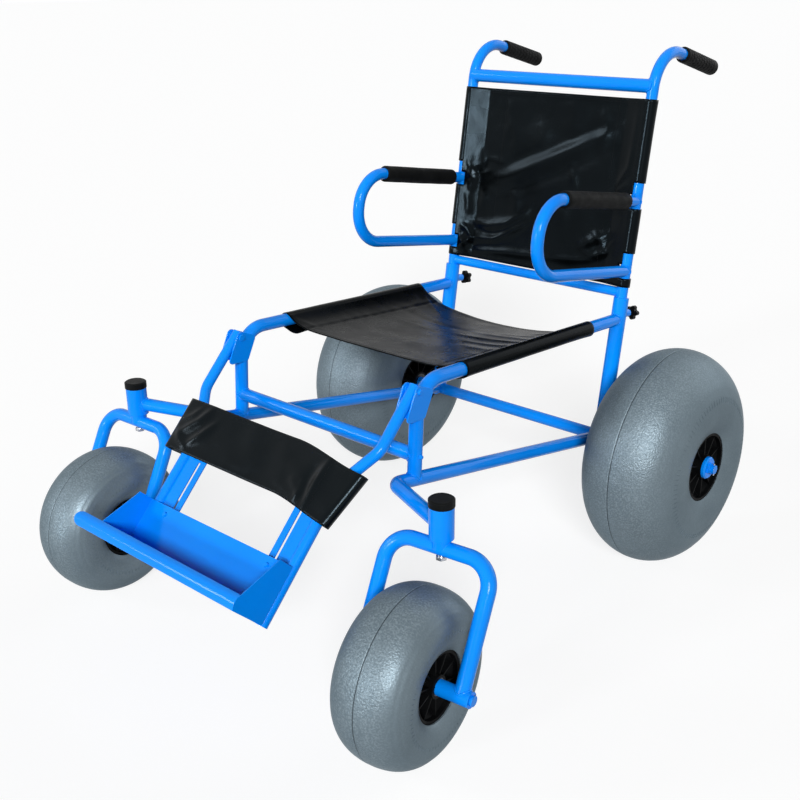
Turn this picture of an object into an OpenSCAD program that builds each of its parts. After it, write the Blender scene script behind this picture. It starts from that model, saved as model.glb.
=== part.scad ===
// Beach wheelchair: a blue tube frame on balloon wheels, with vinyl slings for the seat, the back and
// the calves, front casters on outriggers, a backrest that slides in sockets and a hinged legrest with
// a foot tray that slides along it.
// The chair faces -Y, its own left side is +X, and it stands on the plane z = 0.

/* [Frame tubes] */
// Distance between the centre lines of the two side frames
frame_w = 496; // [440:1:560]
// Outside diameter of the frame tubes
tube_d = 28; // [25.4:0.1:28.6]
// Wall of the bent and straight tubes
tube_wall = 2; // [1.5:0.1:3]
// Outside diameter of the rear uprights
upright_d = 34.9; // [31.8:0.1:36]
// Length of an upright from the axle to its open top
upright_l = 331; // [310:1:380]
// Lean of the uprights and the backrest from the vertical, in degrees
back_recline = 9.4; // [4:0.1:14]
// Place of the seat rail's joint along the upright, from the axle
seat_joint_l = 282; // [250:1:295]
// Length of a seat rail from the upright to its front corner
seat_rail_l = 706; // [660:1:760]
// Rise of the seat rails towards the front, in degrees
seat_tilt = 3.6; // [0:0.1:8]
// Bend radius between a seat rail and its front leg
rail_bend_r = 60; // [45:1:80]
// Length of a front leg, from the seat rail's corner to the side rail
leg_l = 191; // [170:1:220]
// Height of the front cross tube above the side rail, along the leg
cross_up = 49; // [40:1:80]

/* [Outriggers and heads] */
// Length of a side rail past the leg, to the corner where it turns outward
nose_l = 56; // [45:1:70]
// Bend radius where the side rail turns outward
nose_bend_r = 30; // [26:1:44]
// Distance between the two caster heads
head_span = 863; // [800:1:920]
// Distance of a head ahead of the leg's foot
head_ahead = 140; // [120:1:170]
// Height at which the outrigger meets the head
outrigger_h = 400; // [397:1:406]
// Outside diameter of a head tube
head_d = 44.5; // [42:0.1:50]
// Length of a head tube
head_l = 61.5; // [56:0.5:75]
// Diameter of the king pin
king_d = 14; // [12:0.1:18]
// Height of a head bearing
head_bearing_h = 12; // [8:1:16]
// Diameter of the black head cap
head_cap_d = 46.8; // [46.8:0.1:52]
// Height of the head cap above the tube
head_cap_h = 13; // [11:0.5:20]

/* [Backrest] */
// Outside diameter of the push canes
cane_d = 25.4; // [24:0.1:26]
// Travel of the backrest up its sockets
lift_travel = 140; // [80:1:150]
// Length of cane still in the sockets at the top of that travel
cane_keep = 20; // [15:1:40]
// Rise of the push handle's corner above the upper crossbar, along the cane
handle_rise = 88; // [87:1:130]
// Bend radius of the push handle
cane_bend_r = 85; // [60:1:90]
// Droop of the push handles towards the rear, in degrees
handle_droop = 14.4; // [0:0.1:25]
// Length of a push handle from its corner to its end
handle_l = 256; // [235:1:280]
// Rise of the upper crossbar's middle above the back sling's top edge, along the cane
upper_bar_rise = 28; // [20:1:40]
// Diameter of the upper crossbar
upper_bar_d = 30; // [25:0.1:32]
// Diameter of the lower crossbar
lower_bar_d = 22.2; // [18:0.1:25]
// Outside diameter of a push grip
grip_d = 35.5; // [29:0.5:36]
// Length of a push grip
grip_l = 153; // [120:1:155]
// Rubber past the end of the handle tube
grip_end = 6; // [2:0.5:8]

/* [Armrests] */
// Place of the upper arm along the cane, from the axle
arm_top_l = 549; // [520:1:600]
// Spacing of the upper and the lower arm bar
arm_gap = 157; // [154:1:180]
// Reach of the arm loop ahead of the cane
arm_reach = 372; // [340:1:410]
// Outside diameter of the arm tubes
arm_d = 26.4; // [24:0.1:28]
// Bend radius at the front of the arm loop
arm_bend_r = 75; // [60:1:76]
// Outside diameter of the arm pad
pad_d = 37.5; // [32:0.5:42]
// Start of the arm pad ahead of the cane
pad_start = 45; // [24:1:45]
// Length of the arm pad
pad_l = 252; // [200:1:252]

/* [Clamp knobs] */
// Place of a clamp knob along the upright, from the axle
knob_l = 293; // [285:1:310]
// Distance of the knob's near face behind the upright's middle
knob_back = 52; // [46:1:60]
// Thickness of the knob
knob_t = 14; // [10:1:20]
// Radius on which the knob's lobes sit
knob_lobe_ring = 11.5; // [8:0.5:13]
// Radius of one lobe
knob_lobe_r = 5.5; // [4:0.5:7]
// Step from the knob's faces in to its lobes
knob_lobe_step = 1.5; // [0.5:0.5:3]
// Count of lobes
knob_lobes = 5; // [3:1:8]
// Diameter of the clamp screw
screw_d = 8; // [6:0.5:9]
// Diameter of the boss on the upright
boss_d = 18; // [15:1:22]
// Distance of the boss's outer face behind the upright's middle
boss_back = 40; // [30:1:42]

/* [Rear wheels] */
// Outside diameter of the rear balloon tyres
rear_tyre_d = 490; // [470:1:520]
// Width of the rear balloon tyres
rear_tyre_w = 230; // [216:1:234]
// Distance between the middles of the rear wheels
rear_track = 833; // [820:1:880]
// Diameter of the rear hub's flange
rear_flange_d = 156; // [140:1:160]
// Width of the rear hub
rear_hub_w = 203; // [190:1:205]
// Diameter of the rear hub's barrel
rear_barrel_d = 92; // [80:1:110]
// Diameter of the rear axle where the wheel turns
axle_d = 20; // [16:0.1:21]

/* [Casters] */
// Outside diameter of the caster tyres
caster_tyre_d = 318; // [300:1:322]
// Width of the caster tyres
caster_tyre_w = 150; // [130:1:160]
// Diameter of the tyre's round shoulders
caster_shoulder_d = 118; // [110:1:124]
// Diameter of the caster hub's flange
caster_flange_d = 130; // [120:1:136]
// Width of the caster hub
caster_hub_w = 122; // [110:1:128]
// Diameter of the caster hub's barrel
caster_barrel_d = 70; // [60:1:80]
// Diameter of the caster axle
caster_axle_d = 12; // [10:0.1:14]
// Distance of the caster axle ahead of its head
caster_trail = 101; // [80:1:115]
// Distance between the fork legs
fork_w = 210; // [204:1:230]
// Height of the fork's crown
crown_h = 357; // [352:1:358]
// Bend radius of the fork
fork_bend_r = 48; // [35:1:55]
// Distance between the outer ends of the axle bosses
fork_boss_span = 250; // [244:1:266]
// Diameter of the axle bosses
fork_boss_d = 29; // [27:0.5:34]
// Turn of the left caster as it stands, in degrees
left_swivel = 6.8; // [-20:0.1:20]
// Turn of the right caster as it stands, in degrees
right_swivel = 2.5; // [-20:0.1:20]

/* [Legrest] */
// Distance of the hinge pin ahead of the seat rail's corner
pin_ahead = 14; // [12:0.5:20]
// Distance of the hinge pin below the seat rail's corner
pin_below = 9.5; // [4:0.5:14]
// Diameter of the hinge pin
pin_d = 8; // [6:0.5:10]
// Lean of the legrest from the vertical, in degrees
legrest_lean = 44.4; // [35:0.1:50]
// Outside diameter of the legrest tubes
legrest_d = 22.2; // [19:0.1:24]
// Length of the legrest from the pin to the tube ends
legrest_l = 497; // [480:1:540]
// Distance between the lower legrest tubes
legrest_w = 392; // [370:1:420]
// Distance from the pin to the corner where the tubes turn inward
jog_start = 128; // [110:1:150]
// Angle of the inward jog, in degrees
jog_angle = 30; // [25:1:45]
// Bend radius of the legrest tubes
legrest_bend_r = 50; // [40:1:60]
// Thickness of the slotted plates
plate_t = 3; // [2:0.5:4]
// Distance between the inner edges of the slotted plates
plate_inner_w = 264; // [240:1:280]
// Start of the slotted plates from the pin
plate_start = 268; // [264:1:275]
// Start of the slots from the pin
slot_start = 280; // [276:1:290]
// End of the slots from the pin
slot_end = 476; // [470:1:486]

/* [Foot tray] */
// Thickness of the tray's sheet
sheet_t = 2; // [1.5:0.1:3]
// Width of the tray across its end walls
tray_w = 410; // [390:1:430]
// Height of the tray's back wall
tray_h = 114; // [100:1:130]
// Distance of the tray's top edge from the pin
tray_top = 382; // [378:1:400]
// Depth of the tray from its back wall to its lip
tray_depth = 84; // [70:1:100]
// Height of the front lip
lip_h = 30; // [20:1:40]
// Bulge of the front lip's rounded face
lip_bulge = 6; // [2:0.5:8]
// Length by which the lip runs past the right end wall
lip_overhang = 72; // [0:1:74]
// Depth of the end walls at their top
wall_top = 39; // [25:1:55]
// Distance between the two tray bolts
tray_bolt_w = 299; // [290:1:310]
// Distance of the tray bolts below the tray's top edge
tray_bolt_drop = 17; // [14:1:30]
// Diameter of the tray bolts
tray_bolt_d = 6.5; // [6:0.5:9]

/* [Slings] */
// Thickness of the vinyl
vinyl_t = 2; // [1.5:0.1:3]
// Length of the seat sling along the rails
seat_sling_l = 449; // [400:1:500]
// Distance of the seat sling's rear end ahead of the upright
seat_sling_start = 129; // [90:1:140]
// Sag of the seat sling at its rear edge
seat_sag_rear = 50; // [30:1:70]
// Sag of the seat sling at its front edge
seat_sag_front = 24; // [23:1:50]
// Part of the seat sling's sag that falls close to the rails
seat_hem_drop = 22; // [0:1:22]
// Place of the back sling's top edge along the cane, from the axle
back_sling_top = 770; // [740:1:774]
// Place of the back sling's bottom edge along the cane, from the axle
back_sling_bottom = 356; // [356:1:370]
// Sag of the back sling behind the canes' front
back_sag = 14; // [6:1:30]
// Cut in the back sling's sleeve below each arm bar
cut_below = 16; // [14:1:30]
// Cut in the back sling's sleeve above each arm bar
cut_above = 41; // [20:1:60]
// Width of the calf strap along the legrest
strap_l = 113; // [90:1:120]
// Distance of the calf strap's upper edge from the pin
strap_start = 161; // [150:1:165]
// Sag of the calf strap
strap_sag = 8; // [4:1:9]
// Drop of the strap's left end below its right end
strap_slip = 22; // [0:1:24]
// Distance of the calf strap's right end from the middle
strap_right = 261; // [255:1:266]
// Distance of the calf strap's left end from the middle, at its upper edge
strap_left_top = 251; // [246:1:266]
// Distance of the calf strap's left end from the middle, at its lower edge
strap_left_low = 223; // [220:1:266]

/* [Hidden] */
$fn = 64;

// Colours of the real finishes
frame_blue = "#0a84f0";
vinyl_black = "#0d0e10";
tyre_grey = "#8d979e";
plastic_black = "#101114";
steel_grey = "#c9ccd0";

// Clearances of welds, turning fits, sliding fits, soft covers and resting faces, and the overrun of cuts
weld_gap = 0.05;
turn_gap = 0.05;
slide_gap = 0.2;
cover_gap = 0.4;
rest_gap = 0.3;
overrun = 1;

// The faint ring that a bender leaves on a tube at both ends of a bend
mark_l = 0.5;
mark_h = 0.03;

// Places in side view are [y, z] with the rear axle at y = 0
half_w = frame_w / 2;
tube_r = tube_d / 2;
cane_r = cane_d / 2;
upright_r = upright_d / 2;
axle_h = rear_tyre_d / 2;
axle_pt = [0, axle_h];
back_up = [sin(back_recline), cos(back_recline)];
back_fwd = [-cos(back_recline), sin(back_recline)];
function on_back(l, ahead = 0) = axle_pt + l * back_up + ahead * back_fwd;
seat_fwd = [-cos(seat_tilt), sin(seat_tilt)];
seat_up = [sin(seat_tilt), cos(seat_tilt)];
seat_root = on_back(seat_joint_l);
rail_corner = seat_root + seat_rail_l * seat_fwd;
leg_foot = rail_corner - leg_l * seat_up;
cross_pt = leg_foot + cross_up * seat_up;
side_fwd = (leg_foot - axle_pt) / norm(leg_foot - axle_pt);
nose_pt = leg_foot + nose_l * side_fwd;
bend_centre = rail_corner - rail_bend_r * (seat_fwd + seat_up);

// Backrest
cane_insert = lift_travel + cane_keep;
lower_bar_l = upright_l + lower_bar_d / 2 + rest_gap;
upper_bar_l = back_sling_top + upper_bar_rise;
cane_top_l = upper_bar_l + handle_rise;
handle_dir = [cos(handle_droop), -sin(handle_droop)];
handle_corner = on_back(cane_top_l);
handle_end = handle_corner + handle_l * handle_dir;
arm_low_l = arm_top_l - arm_gap;
arm_r = arm_d / 2;

// Heads and casters
head_x = head_span / 2;
head_y = leg_foot[0] - head_ahead;
crown_top = crown_h + tube_r;
thrust_h = 5.7;
head_base = crown_top + thrust_h;
head_top = head_base + head_l;
cap_wall = 3;
cap_skirt = 1;
king_collar_d = 34;
king_nut_d = 21;
king_nut_h = 7;
king_r = king_d / 2;
head_bearing_d = head_d - 4 * tube_wall - 2 * turn_gap;
caster_r = caster_tyre_d / 2;
fork_lean = atan2(caster_trail, crown_h - caster_r);
fork_half = fork_w / 2;
caster_axle_r = caster_axle_d / 2;
caster_bearing_d = 32;
caster_bearing_w = 10;
caster_bolt_head_d = 19;
caster_bolt_head_h = 5;
fork_boss_inner = caster_hub_w / 2 + rest_gap;

// Legrest, with s along the tubes from the pin and o out of the legrest's plane towards the front
pin_pt = rail_corner + [-pin_ahead, -pin_below];
leg_down = [-sin(legrest_lean), -cos(legrest_lean)];
leg_out = [-cos(legrest_lean), sin(legrest_lean)];
function on_legrest(s, o = 0) = pin_pt + s * leg_down + o * leg_out;
legrest_r = legrest_d / 2;
legrest_top = 9;
jog_w = half_w - legrest_w / 2;
jog_end = jog_start + jog_w / tan(jog_angle);
tray_back = legrest_r + rest_gap;
tray_foot = tray_top + tray_h;
tray_front = tray_back + tray_depth;
wall_front = tray_front - sheet_t / 4;
lip_r = lip_h / 2;
lip_face_r = (lip_r * lip_r + lip_bulge * lip_bulge) / (2 * lip_bulge);
lip_axis = [tray_foot - lip_r, tray_front + lip_bulge - lip_face_r];
tray_bolt_s = tray_top + tray_bolt_drop;
tray_bolt_head_d = 10.5;
tray_bolt_head_h = 3.5;
tray_nut_d = 14;
tray_nut_h = 7;
spacer_d = 16;

// The middle of the whole chair, front to back, is y = 0
front_most = min(on_legrest(tray_foot, tray_front)[0], head_y - caster_trail - caster_r);
rear_most = handle_end[0] + grip_end * handle_dir[0] + grip_d / 2 * sin(handle_droop);
axle_y = -(front_most + rear_most) / 2;

// Small parts
pin_head_d = 14;
pin_head_h = 4;
ear_t = 3;
ear_pin_r = 11;
ear_edge_r = 7;
ear_leg_drop = 58;
web_start = 16;
web_end = 52;
frame_bolt_d = 6;
frame_bolt_l = 8;
frame_bolt_head_d = 11;
frame_bolt_head_h = 4;
rear_bolt_inset = 24;
axle_tube_over = 22;
stub_plug_l = 60;
axle_collar_d = 50;
axle_collar_h = 9;
axle_collar_round = 3;
axle_nut_d = 28;
axle_nut_h = 7;
axle_tail = 3;
split_pin_d = 3;
split_pin_l = 28;
rear_bearing_d = 44;
rear_bearing_w = 12;
tyre_wall = 4;
hub_lip = 10;
rear_hub_taper = 40;
caster_hub_taper = 22;
hub_dish_wall = 6;
rear_dish_depth = 34;
caster_dish_depth = 18;
hub_nose_wall = 5;
rib_t = 3;
hub_ribs = 10;
hub_clear = 1;

// Geometry helpers
function unit(v) = v / norm(v);
function side(x, p) = [x, p[0], p[1]];

// Everything is drawn with the rear axle at y = 0 and moved to the chair's middle here
module placed() { translate([0, axle_y, 0]) children(); }

module mirrored() { mirror([1, 0, 0]) children(); }

module both_sides() {
    children();
    mirrored() children();
}

// A round bar from a to b
module bar(a, b, r) {
    v = b - a;
    translate(a)
        rotate([0, acos(v[2] / norm(v)), atan2(v[1], v[0])])
            cylinder(r = r, h = norm(v));
}

// A round bar of straights and bends; each step is [length, turn, roll], and a bend turns to the rolled -x
module bar_chain(steps, r, bend, i = 0) {
    step = steps[i];
    marked = [if (i > 0) 0, if (i < len(steps) - 1) step[0]];
    union() {
        cylinder(r = r, h = step[0]);
        for (z = marked) translate([0, 0, z - mark_l / 2]) cylinder(r = r + mark_h, h = mark_l);
    }
    if (i < len(steps) - 1) translate([0, 0, step[0]]) rotate([0, 0, step[2]]) translate([-bend, 0, 0]) {
        rotate([90, 0, 0]) rotate_extrude(angle = step[1]) translate([bend, 0]) circle(r = r);
        rotate([0, -step[1], 0]) translate([bend, 0, 0]) bar_chain(steps, r, bend, i + 1);
    }
}

function bore_steps(steps, last) = [
    for (i = [0 : len(steps) - 1])
        [steps[i][0] + (i == 0 ? overrun : 0) + (i == len(steps) - 1 ? last : 0), steps[i][1], steps[i][2]]
];

// A tube along such a chain; a closed end keeps one wall of metal
module tube_chain(steps, d, bend, last_closed = false) {
    difference() {
        bar_chain(steps, d / 2, bend);
        translate([0, 0, -overrun])
            bar_chain(bore_steps(steps, last_closed ? -tube_wall : overrun), d / 2 - tube_wall, bend);
    }
}

// A chain that starts at p on the left side, heading forward with a rise in degrees, its bends turning down
module side_chain(p, rise) {
    translate(side(half_w, p)) rotate([90 - rise, 0, 0]) rotate([0, 0, 90]) children();
}

// A bar along x between two sides of one piece
module cross_bar(x0, x1, p, r) { bar(side(x0, p), side(x1, p), r); }

// A flat strip with round ends between two points
module capsule(a, b, ra, rb) {
    v = unit(b - a);
    n = [-v[1], v[0]];
    translate(a) circle(r = ra);
    translate(b) circle(r = rb);
    polygon([a + ra * n, b + rb * n, b - rb * n, a - ra * n]);
}

// A plate of a shape drawn in side view, from x0 to x0 + t
module side_plate(x0, t) {
    translate([x0, 0, 0]) rotate([90, 0, 90]) linear_extrude(height = t) children();
}

// Children stand in the legrest's own frame: x to the chair's right, y down the tubes, z out to the front
module legrest_frame() {
    translate(side(0, pin_pt)) rotate([90 - legrest_lean, 0, 0]) rotate([0, 0, 180]) children();
}

// Side frame
side_rise = atan2(side_fwd[1], -side_fwd[0]);
outrigger_v = [head_x, head_y, outrigger_h] - side(half_w, nose_pt);
outrigger_dir = unit(outrigger_v);
nose_turn = acos(outrigger_dir * side(0, side_fwd));
nose_roll = atan2(outrigger_dir[0], -outrigger_dir * side(0, [side_fwd[1], -side_fwd[0]]));
nose_trim = nose_bend_r * tan(nose_turn / 2);

module upright_bar(grow = 0) {
    bar(side(half_w, axle_pt), side(half_w, on_back(upright_l)), upright_r + grow);
}

// A bar square to the upright, from its middle out to the rear
module clamp_bar(back, r) { bar(side(half_w, on_back(knob_l)), side(half_w, on_back(knob_l, -back)), r); }

module axle_tube_bar(grow = 0) {
    cross_bar(-half_w - axle_tube_over, half_w + axle_tube_over, axle_pt, tube_r + grow);
}

module head_bar(grow = 0) {
    translate([head_x, head_y, head_base]) cylinder(d = head_d + 2 * grow, h = head_l);
}

module seat_rail() {
    difference() {
        side_chain(seat_root, seat_tilt)
            tube_chain(
                [[seat_rail_l - rail_bend_r, 90, 0], [leg_l - rail_bend_r, 0, 0]],
                tube_d, rail_bend_r
            );
        upright_bar(weld_gap);
        bar(side(half_w, axle_pt), side(half_w, nose_pt), tube_r + weld_gap);
        cross_bar(half_w, half_w + tube_d, cross_pt, frame_bolt_d / 2 + turn_gap);
    }
}

module upright() {
    difference() {
        upright_bar();
        bar(
            side(half_w, on_back(-overrun)), side(half_w, on_back(upright_l + overrun)),
            cane_r + slide_gap / 2
        );
        axle_tube_bar(weld_gap);
        clamp_bar(upright_d, screw_d / 2 + turn_gap);
    }
}

module side_rail() {
    difference() {
        side_chain(axle_pt, side_rise) tube_chain(
            [
                [norm(nose_pt - axle_pt) - nose_trim, nose_turn, nose_roll],
                [norm(outrigger_v) - nose_trim, 0, 0]
            ],
            tube_d, nose_bend_r
        );
        upright_bar(weld_gap);
        axle_tube_bar(weld_gap);
        head_bar(weld_gap);
    }
}

// The bore of the bolt that holds a stub axle in the axle tube
module stub_bolt_bore() {
    translate(side(half_w - rear_bolt_inset, axle_pt - [tube_r - frame_bolt_l, 0])) rotate([90, 0, 0])
        cylinder(d = frame_bolt_d + 2 * turn_gap, h = tube_d);
}

module rear_axle_tube_solid() {
    difference() {
        axle_tube_bar();
        cross_bar(-rear_track, rear_track, axle_pt, tube_r - tube_wall);
        both_sides() stub_bolt_bore();
    }
}

module front_cross_tube_solid() {
    difference() {
        cross_bar(-half_w, half_w, cross_pt, tube_r);
        cross_bar(-frame_w, frame_w, cross_pt, tube_r - tube_wall);
        both_sides() bar(side(half_w, leg_foot), side(half_w, rail_corner), tube_r + weld_gap);
    }
}

// A round bolt with a low domed head, its head's seat at the origin and its shank along -z
module dome_bolt(d, l, head_d, head_h) {
    translate([0, 0, -l]) cylinder(d = d, h = l);
    cylinder(d1 = head_d, d2 = head_d - head_h, h = head_h);
}

module frame_bolt() { dome_bolt(frame_bolt_d, frame_bolt_l, frame_bolt_head_d, frame_bolt_head_h); }

module frame_bolt_set() {
    translate(side(half_w + tube_r, cross_pt)) rotate([0, 90, 0]) frame_bolt();
    translate(side(half_w - rear_bolt_inset, axle_pt - [tube_r, 0])) rotate([90, 0, 0]) frame_bolt();
}

// Hinge of the legrest on the corner of the side frame
ear_x = tube_r + weld_gap;
ear_bend_pt = bend_centre + rail_bend_r * unit(rail_corner - bend_centre);
ear_leg_pt = rail_corner - ear_leg_drop * seat_up;
web_front = -legrest_r - rest_gap;
web_back = web_front - ear_t;
ear_web_pt = on_legrest(web_end, (web_front + web_back) / 2);

module ear_shape() {
    capsule(pin_pt, ear_bend_pt, ear_pin_r, ear_edge_r);
    capsule(ear_bend_pt, ear_leg_pt, ear_edge_r, ear_edge_r);
    capsule(ear_leg_pt, ear_web_pt, ear_edge_r, ear_edge_r);
    capsule(ear_web_pt, pin_pt, ear_edge_r, ear_pin_r);
    polygon([pin_pt, ear_bend_pt, ear_leg_pt, ear_web_pt]);
}

module hinge_bracket() {
    difference() {
        union() {
            side_plate(half_w + ear_x, ear_t) ear_shape();
            side_plate(half_w - ear_x - ear_t, ear_t) ear_shape();
            side_plate(half_w - ear_x - ear_t / 2, 2 * ear_x + ear_t) polygon([
                on_legrest(web_start, web_front), on_legrest(web_end, web_front),
                on_legrest(web_end, web_back), on_legrest(web_start, web_back)
            ]);
        }
        cross_bar(0, frame_w, pin_pt, pin_d / 2 + turn_gap);
    }
}

module hinge_bolt() {
    seat_x = ear_x + ear_t;
    translate(side(half_w + seat_x, pin_pt)) rotate([0, 90, 0])
        dome_bolt(pin_d, 2 * seat_x, pin_head_d, pin_head_h);
    cross_bar(half_w - seat_x - pin_head_h, half_w - seat_x, pin_pt, pin_head_d / 2);
    for (x = [-ear_x, legrest_r + rest_gap])
        cross_bar(half_w + x, half_w + x + ear_x - legrest_r - rest_gap, pin_pt, pin_head_d / 2);
}

// Caster heads
module head_tube() {
    bore_d = head_d - 4 * tube_wall;
    difference() {
        head_bar();
        translate([head_x, head_y, head_base - overrun]) cylinder(d = bore_d, h = head_l + 2 * overrun);
    }
}

module head_bearing_pair() {
    for (z = [head_base, head_top - head_bearing_h])
        translate([head_x, head_y, z]) difference() {
            cylinder(d = head_bearing_d, h = head_bearing_h);
            translate([0, 0, -overrun]) cylinder(r = king_r + turn_gap, h = head_bearing_h + 2 * overrun);
        }
}

module head_cap() {
    translate([head_x, head_y, head_top - cap_skirt]) difference() {
        union() {
            cylinder(d = head_cap_d, h = head_cap_h - cap_skirt);
            translate([0, 0, head_cap_h - cap_skirt])
                cylinder(d1 = head_cap_d, d2 = head_cap_d - 2 * cap_wall, h = 2 * cap_skirt);
        }
        translate([0, 0, -overrun]) cylinder(d = head_d + 2 * weld_gap, h = overrun + cap_skirt);
        translate([0, 0, -overrun])
            cylinder(d = head_cap_d - 2 * cap_wall, h = head_cap_h - cap_wall + overrun);
    }
}

// Rear axles
rear_x = rear_track / 2;
hub_in = rear_x - rear_hub_w / 2;
hub_out = rear_x + rear_hub_w / 2;
axle_r = axle_d / 2;
collar_out = hub_out + rest_gap + axle_collar_h;
axle_end = collar_out + axle_nut_h + axle_tail + split_pin_d;

module stub_axle() {
    difference() {
        union() {
            cross_bar(half_w + axle_tube_over - stub_plug_l, half_w + axle_tube_over, axle_pt,
                tube_r - tube_wall - turn_gap);
            cross_bar(half_w + axle_tube_over, hub_in - rest_gap, axle_pt, tube_r);
            cross_bar(half_w + axle_tube_over, axle_end, axle_pt, axle_r);
        }
        stub_bolt_bore();
        translate(side(axle_end - axle_tail, axle_pt))
            cylinder(d = split_pin_d + 2 * turn_gap, h = tube_d, center = true);
    }
}

// A round collar over the bearing, and a castle nut on it
module axle_nut() {
    translate(side(hub_out + rest_gap, axle_pt)) rotate([0, 90, 0]) difference() {
        union() {
            cylinder(d = axle_collar_d, h = axle_collar_h - axle_collar_round);
            translate([0, 0, axle_collar_h - axle_collar_round])
                cylinder(
                    d1 = axle_collar_d, d2 = axle_collar_d - 2 * axle_collar_round,
                    h = axle_collar_round
                );
            cylinder(d = axle_nut_d, h = axle_collar_h + axle_nut_h / 2, $fn = 6);
            cylinder(d = axle_nut_d - 2 * tube_wall, h = axle_collar_h + axle_nut_h);
        }
        translate([0, 0, -overrun])
            cylinder(r = axle_r + turn_gap, h = axle_collar_h + axle_nut_h + 2 * overrun);
    }
}

module split_pin() {
    translate(side(axle_end - axle_tail, axle_pt)) cylinder(d = split_pin_d, h = split_pin_l, center = true);
}

// Clamp of the backrest
module clamp_boss() {
    difference() {
        clamp_bar(boss_back, boss_d / 2);
        upright_bar(weld_gap);
        clamp_bar(boss_back + overrun, screw_d / 2 + turn_gap);
    }
}

module clamp_knob() {
    translate(side(half_w, on_back(knob_l))) rotate([-90 - back_recline, 0, 0]) {
        translate([0, 0, cane_r + rest_gap])
            cylinder(d = screw_d, h = knob_back - cane_r - rest_gap + knob_t / 2);
        translate([0, 0, knob_back]) {
            cylinder(r = knob_lobe_ring, h = knob_t);
            for (i = [0 : knob_lobes - 1])
                rotate([0, 0, i * 360 / knob_lobes]) translate([knob_lobe_ring, 0, knob_lobe_step])
                    cylinder(r = knob_lobe_r, h = knob_t - 2 * knob_lobe_step);
        }
    }
}

// Backrest
cane_turn = 90 + handle_droop - back_recline;
cane_trim = cane_bend_r * tan(cane_turn / 2);
cane_steps = [
    [cane_top_l - upright_l + cane_insert - cane_trim, cane_turn, 180],
    [handle_l - cane_trim, 0, 0]
];

module along_cane() { side_chain(on_back(upright_l - cane_insert), 90 + back_recline) children(); }

module cane_bar(grow) { along_cane() bar_chain(cane_steps, cane_r + grow, cane_bend_r); }

module cane() { along_cane() tube_chain(cane_steps, cane_d, cane_bend_r, true); }

module back_bar(l, d) {
    difference() {
        cross_bar(-half_w, half_w, on_back(l), d / 2);
        cross_bar(-frame_w, frame_w, on_back(l), d / 2 - tube_wall);
        both_sides() cane_bar(weld_gap);
    }
}

module armrest() {
    difference() {
        side_chain(on_back(arm_top_l), back_recline) tube_chain(
            [
                [arm_reach - arm_bend_r, 90, 0],
                [arm_gap - 2 * arm_bend_r, 90, 0],
                [arm_reach - arm_bend_r, 0, 0]
            ],
            arm_d, arm_bend_r
        );
        cane_bar(weld_gap);
    }
}

// A bar along the upper arm, between two distances ahead of the cane
module arm_bar(start, stop, r) {
    bar(side(half_w, on_back(arm_top_l, start)), side(half_w, on_back(arm_top_l, stop)), r);
}

module arm_pad() {
    difference() {
        arm_bar(pad_start, pad_start + pad_l, pad_d / 2);
        arm_bar(0, arm_reach, arm_r + weld_gap);
    }
}

// A bar along the push handle, between two distances from the handle's end
module handle_bar(start, stop, r) {
    bar(side(half_w, handle_end + start * handle_dir), side(half_w, handle_end + stop * handle_dir), r);
}

module push_grip() {
    start = grip_end - grip_l;
    difference() {
        handle_bar(start, grip_end, grip_d / 2);
        handle_bar(start - overrun, weld_gap, cane_r + weld_gap);
    }
}

// Wheels, drawn about the z axis with their middle at the origin
module hub_envelope(flange_r, barrel_r, half, taper, grow) {
    polygon([
        [0, -half], [flange_r + grow, -half], [flange_r + grow, hub_lip + grow - half],
        [barrel_r + grow, hub_lip + taper + grow - half], [barrel_r + grow, half - hub_lip - taper - grow],
        [flange_r + grow, half - hub_lip - grow], [flange_r + grow, half], [0, half]
    ]);
}

// A balloon tyre whose section is a circle, or two circles side by side, about a hub
module tyre(tyre_d, tyre_w, section_d, flange_d, barrel_d, hub_w, taper) {
    ring_r = (tyre_d - section_d) / 2;
    spread = (tyre_w - section_d) / 2;
    rotate_extrude() difference() {
        tyre_section(ring_r, spread, section_d / 2);
        hub_envelope(flange_d / 2, barrel_d / 2, hub_w / 2, taper, rest_gap);
        for (z = [-hub_w / 2 - tyre_w, hub_w / 2 - overrun])
            translate([0, z]) square([flange_d / 2 + rest_gap, tyre_w + overrun]);
        difference() {
            tyre_section(ring_r, spread, section_d / 2 - tyre_wall);
            hub_envelope(flange_d / 2, barrel_d / 2, hub_w / 2, taper, tyre_wall + rest_gap);
        }
    }
}

module tyre_section(ring_r, spread, r) {
    for (k = [-1, 1]) translate([ring_r, k * spread]) circle(r = r);
    if (spread > 0) translate([ring_r - r, -spread]) square([2 * r, 2 * spread]);
}

// The dish in a hub's end, from its nose out to its rim, with walls that follow the taper
module hub_dish_shape(nose_r, rim_r, floor_r, half, dish, top, grow) {
    polygon([
        [nose_r - grow, top], [rim_r + grow, top], [rim_r + grow, half - hub_lip],
        [floor_r + grow, half - dish - grow], [nose_r - grow, half - dish - grow]
    ]);
}

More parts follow.
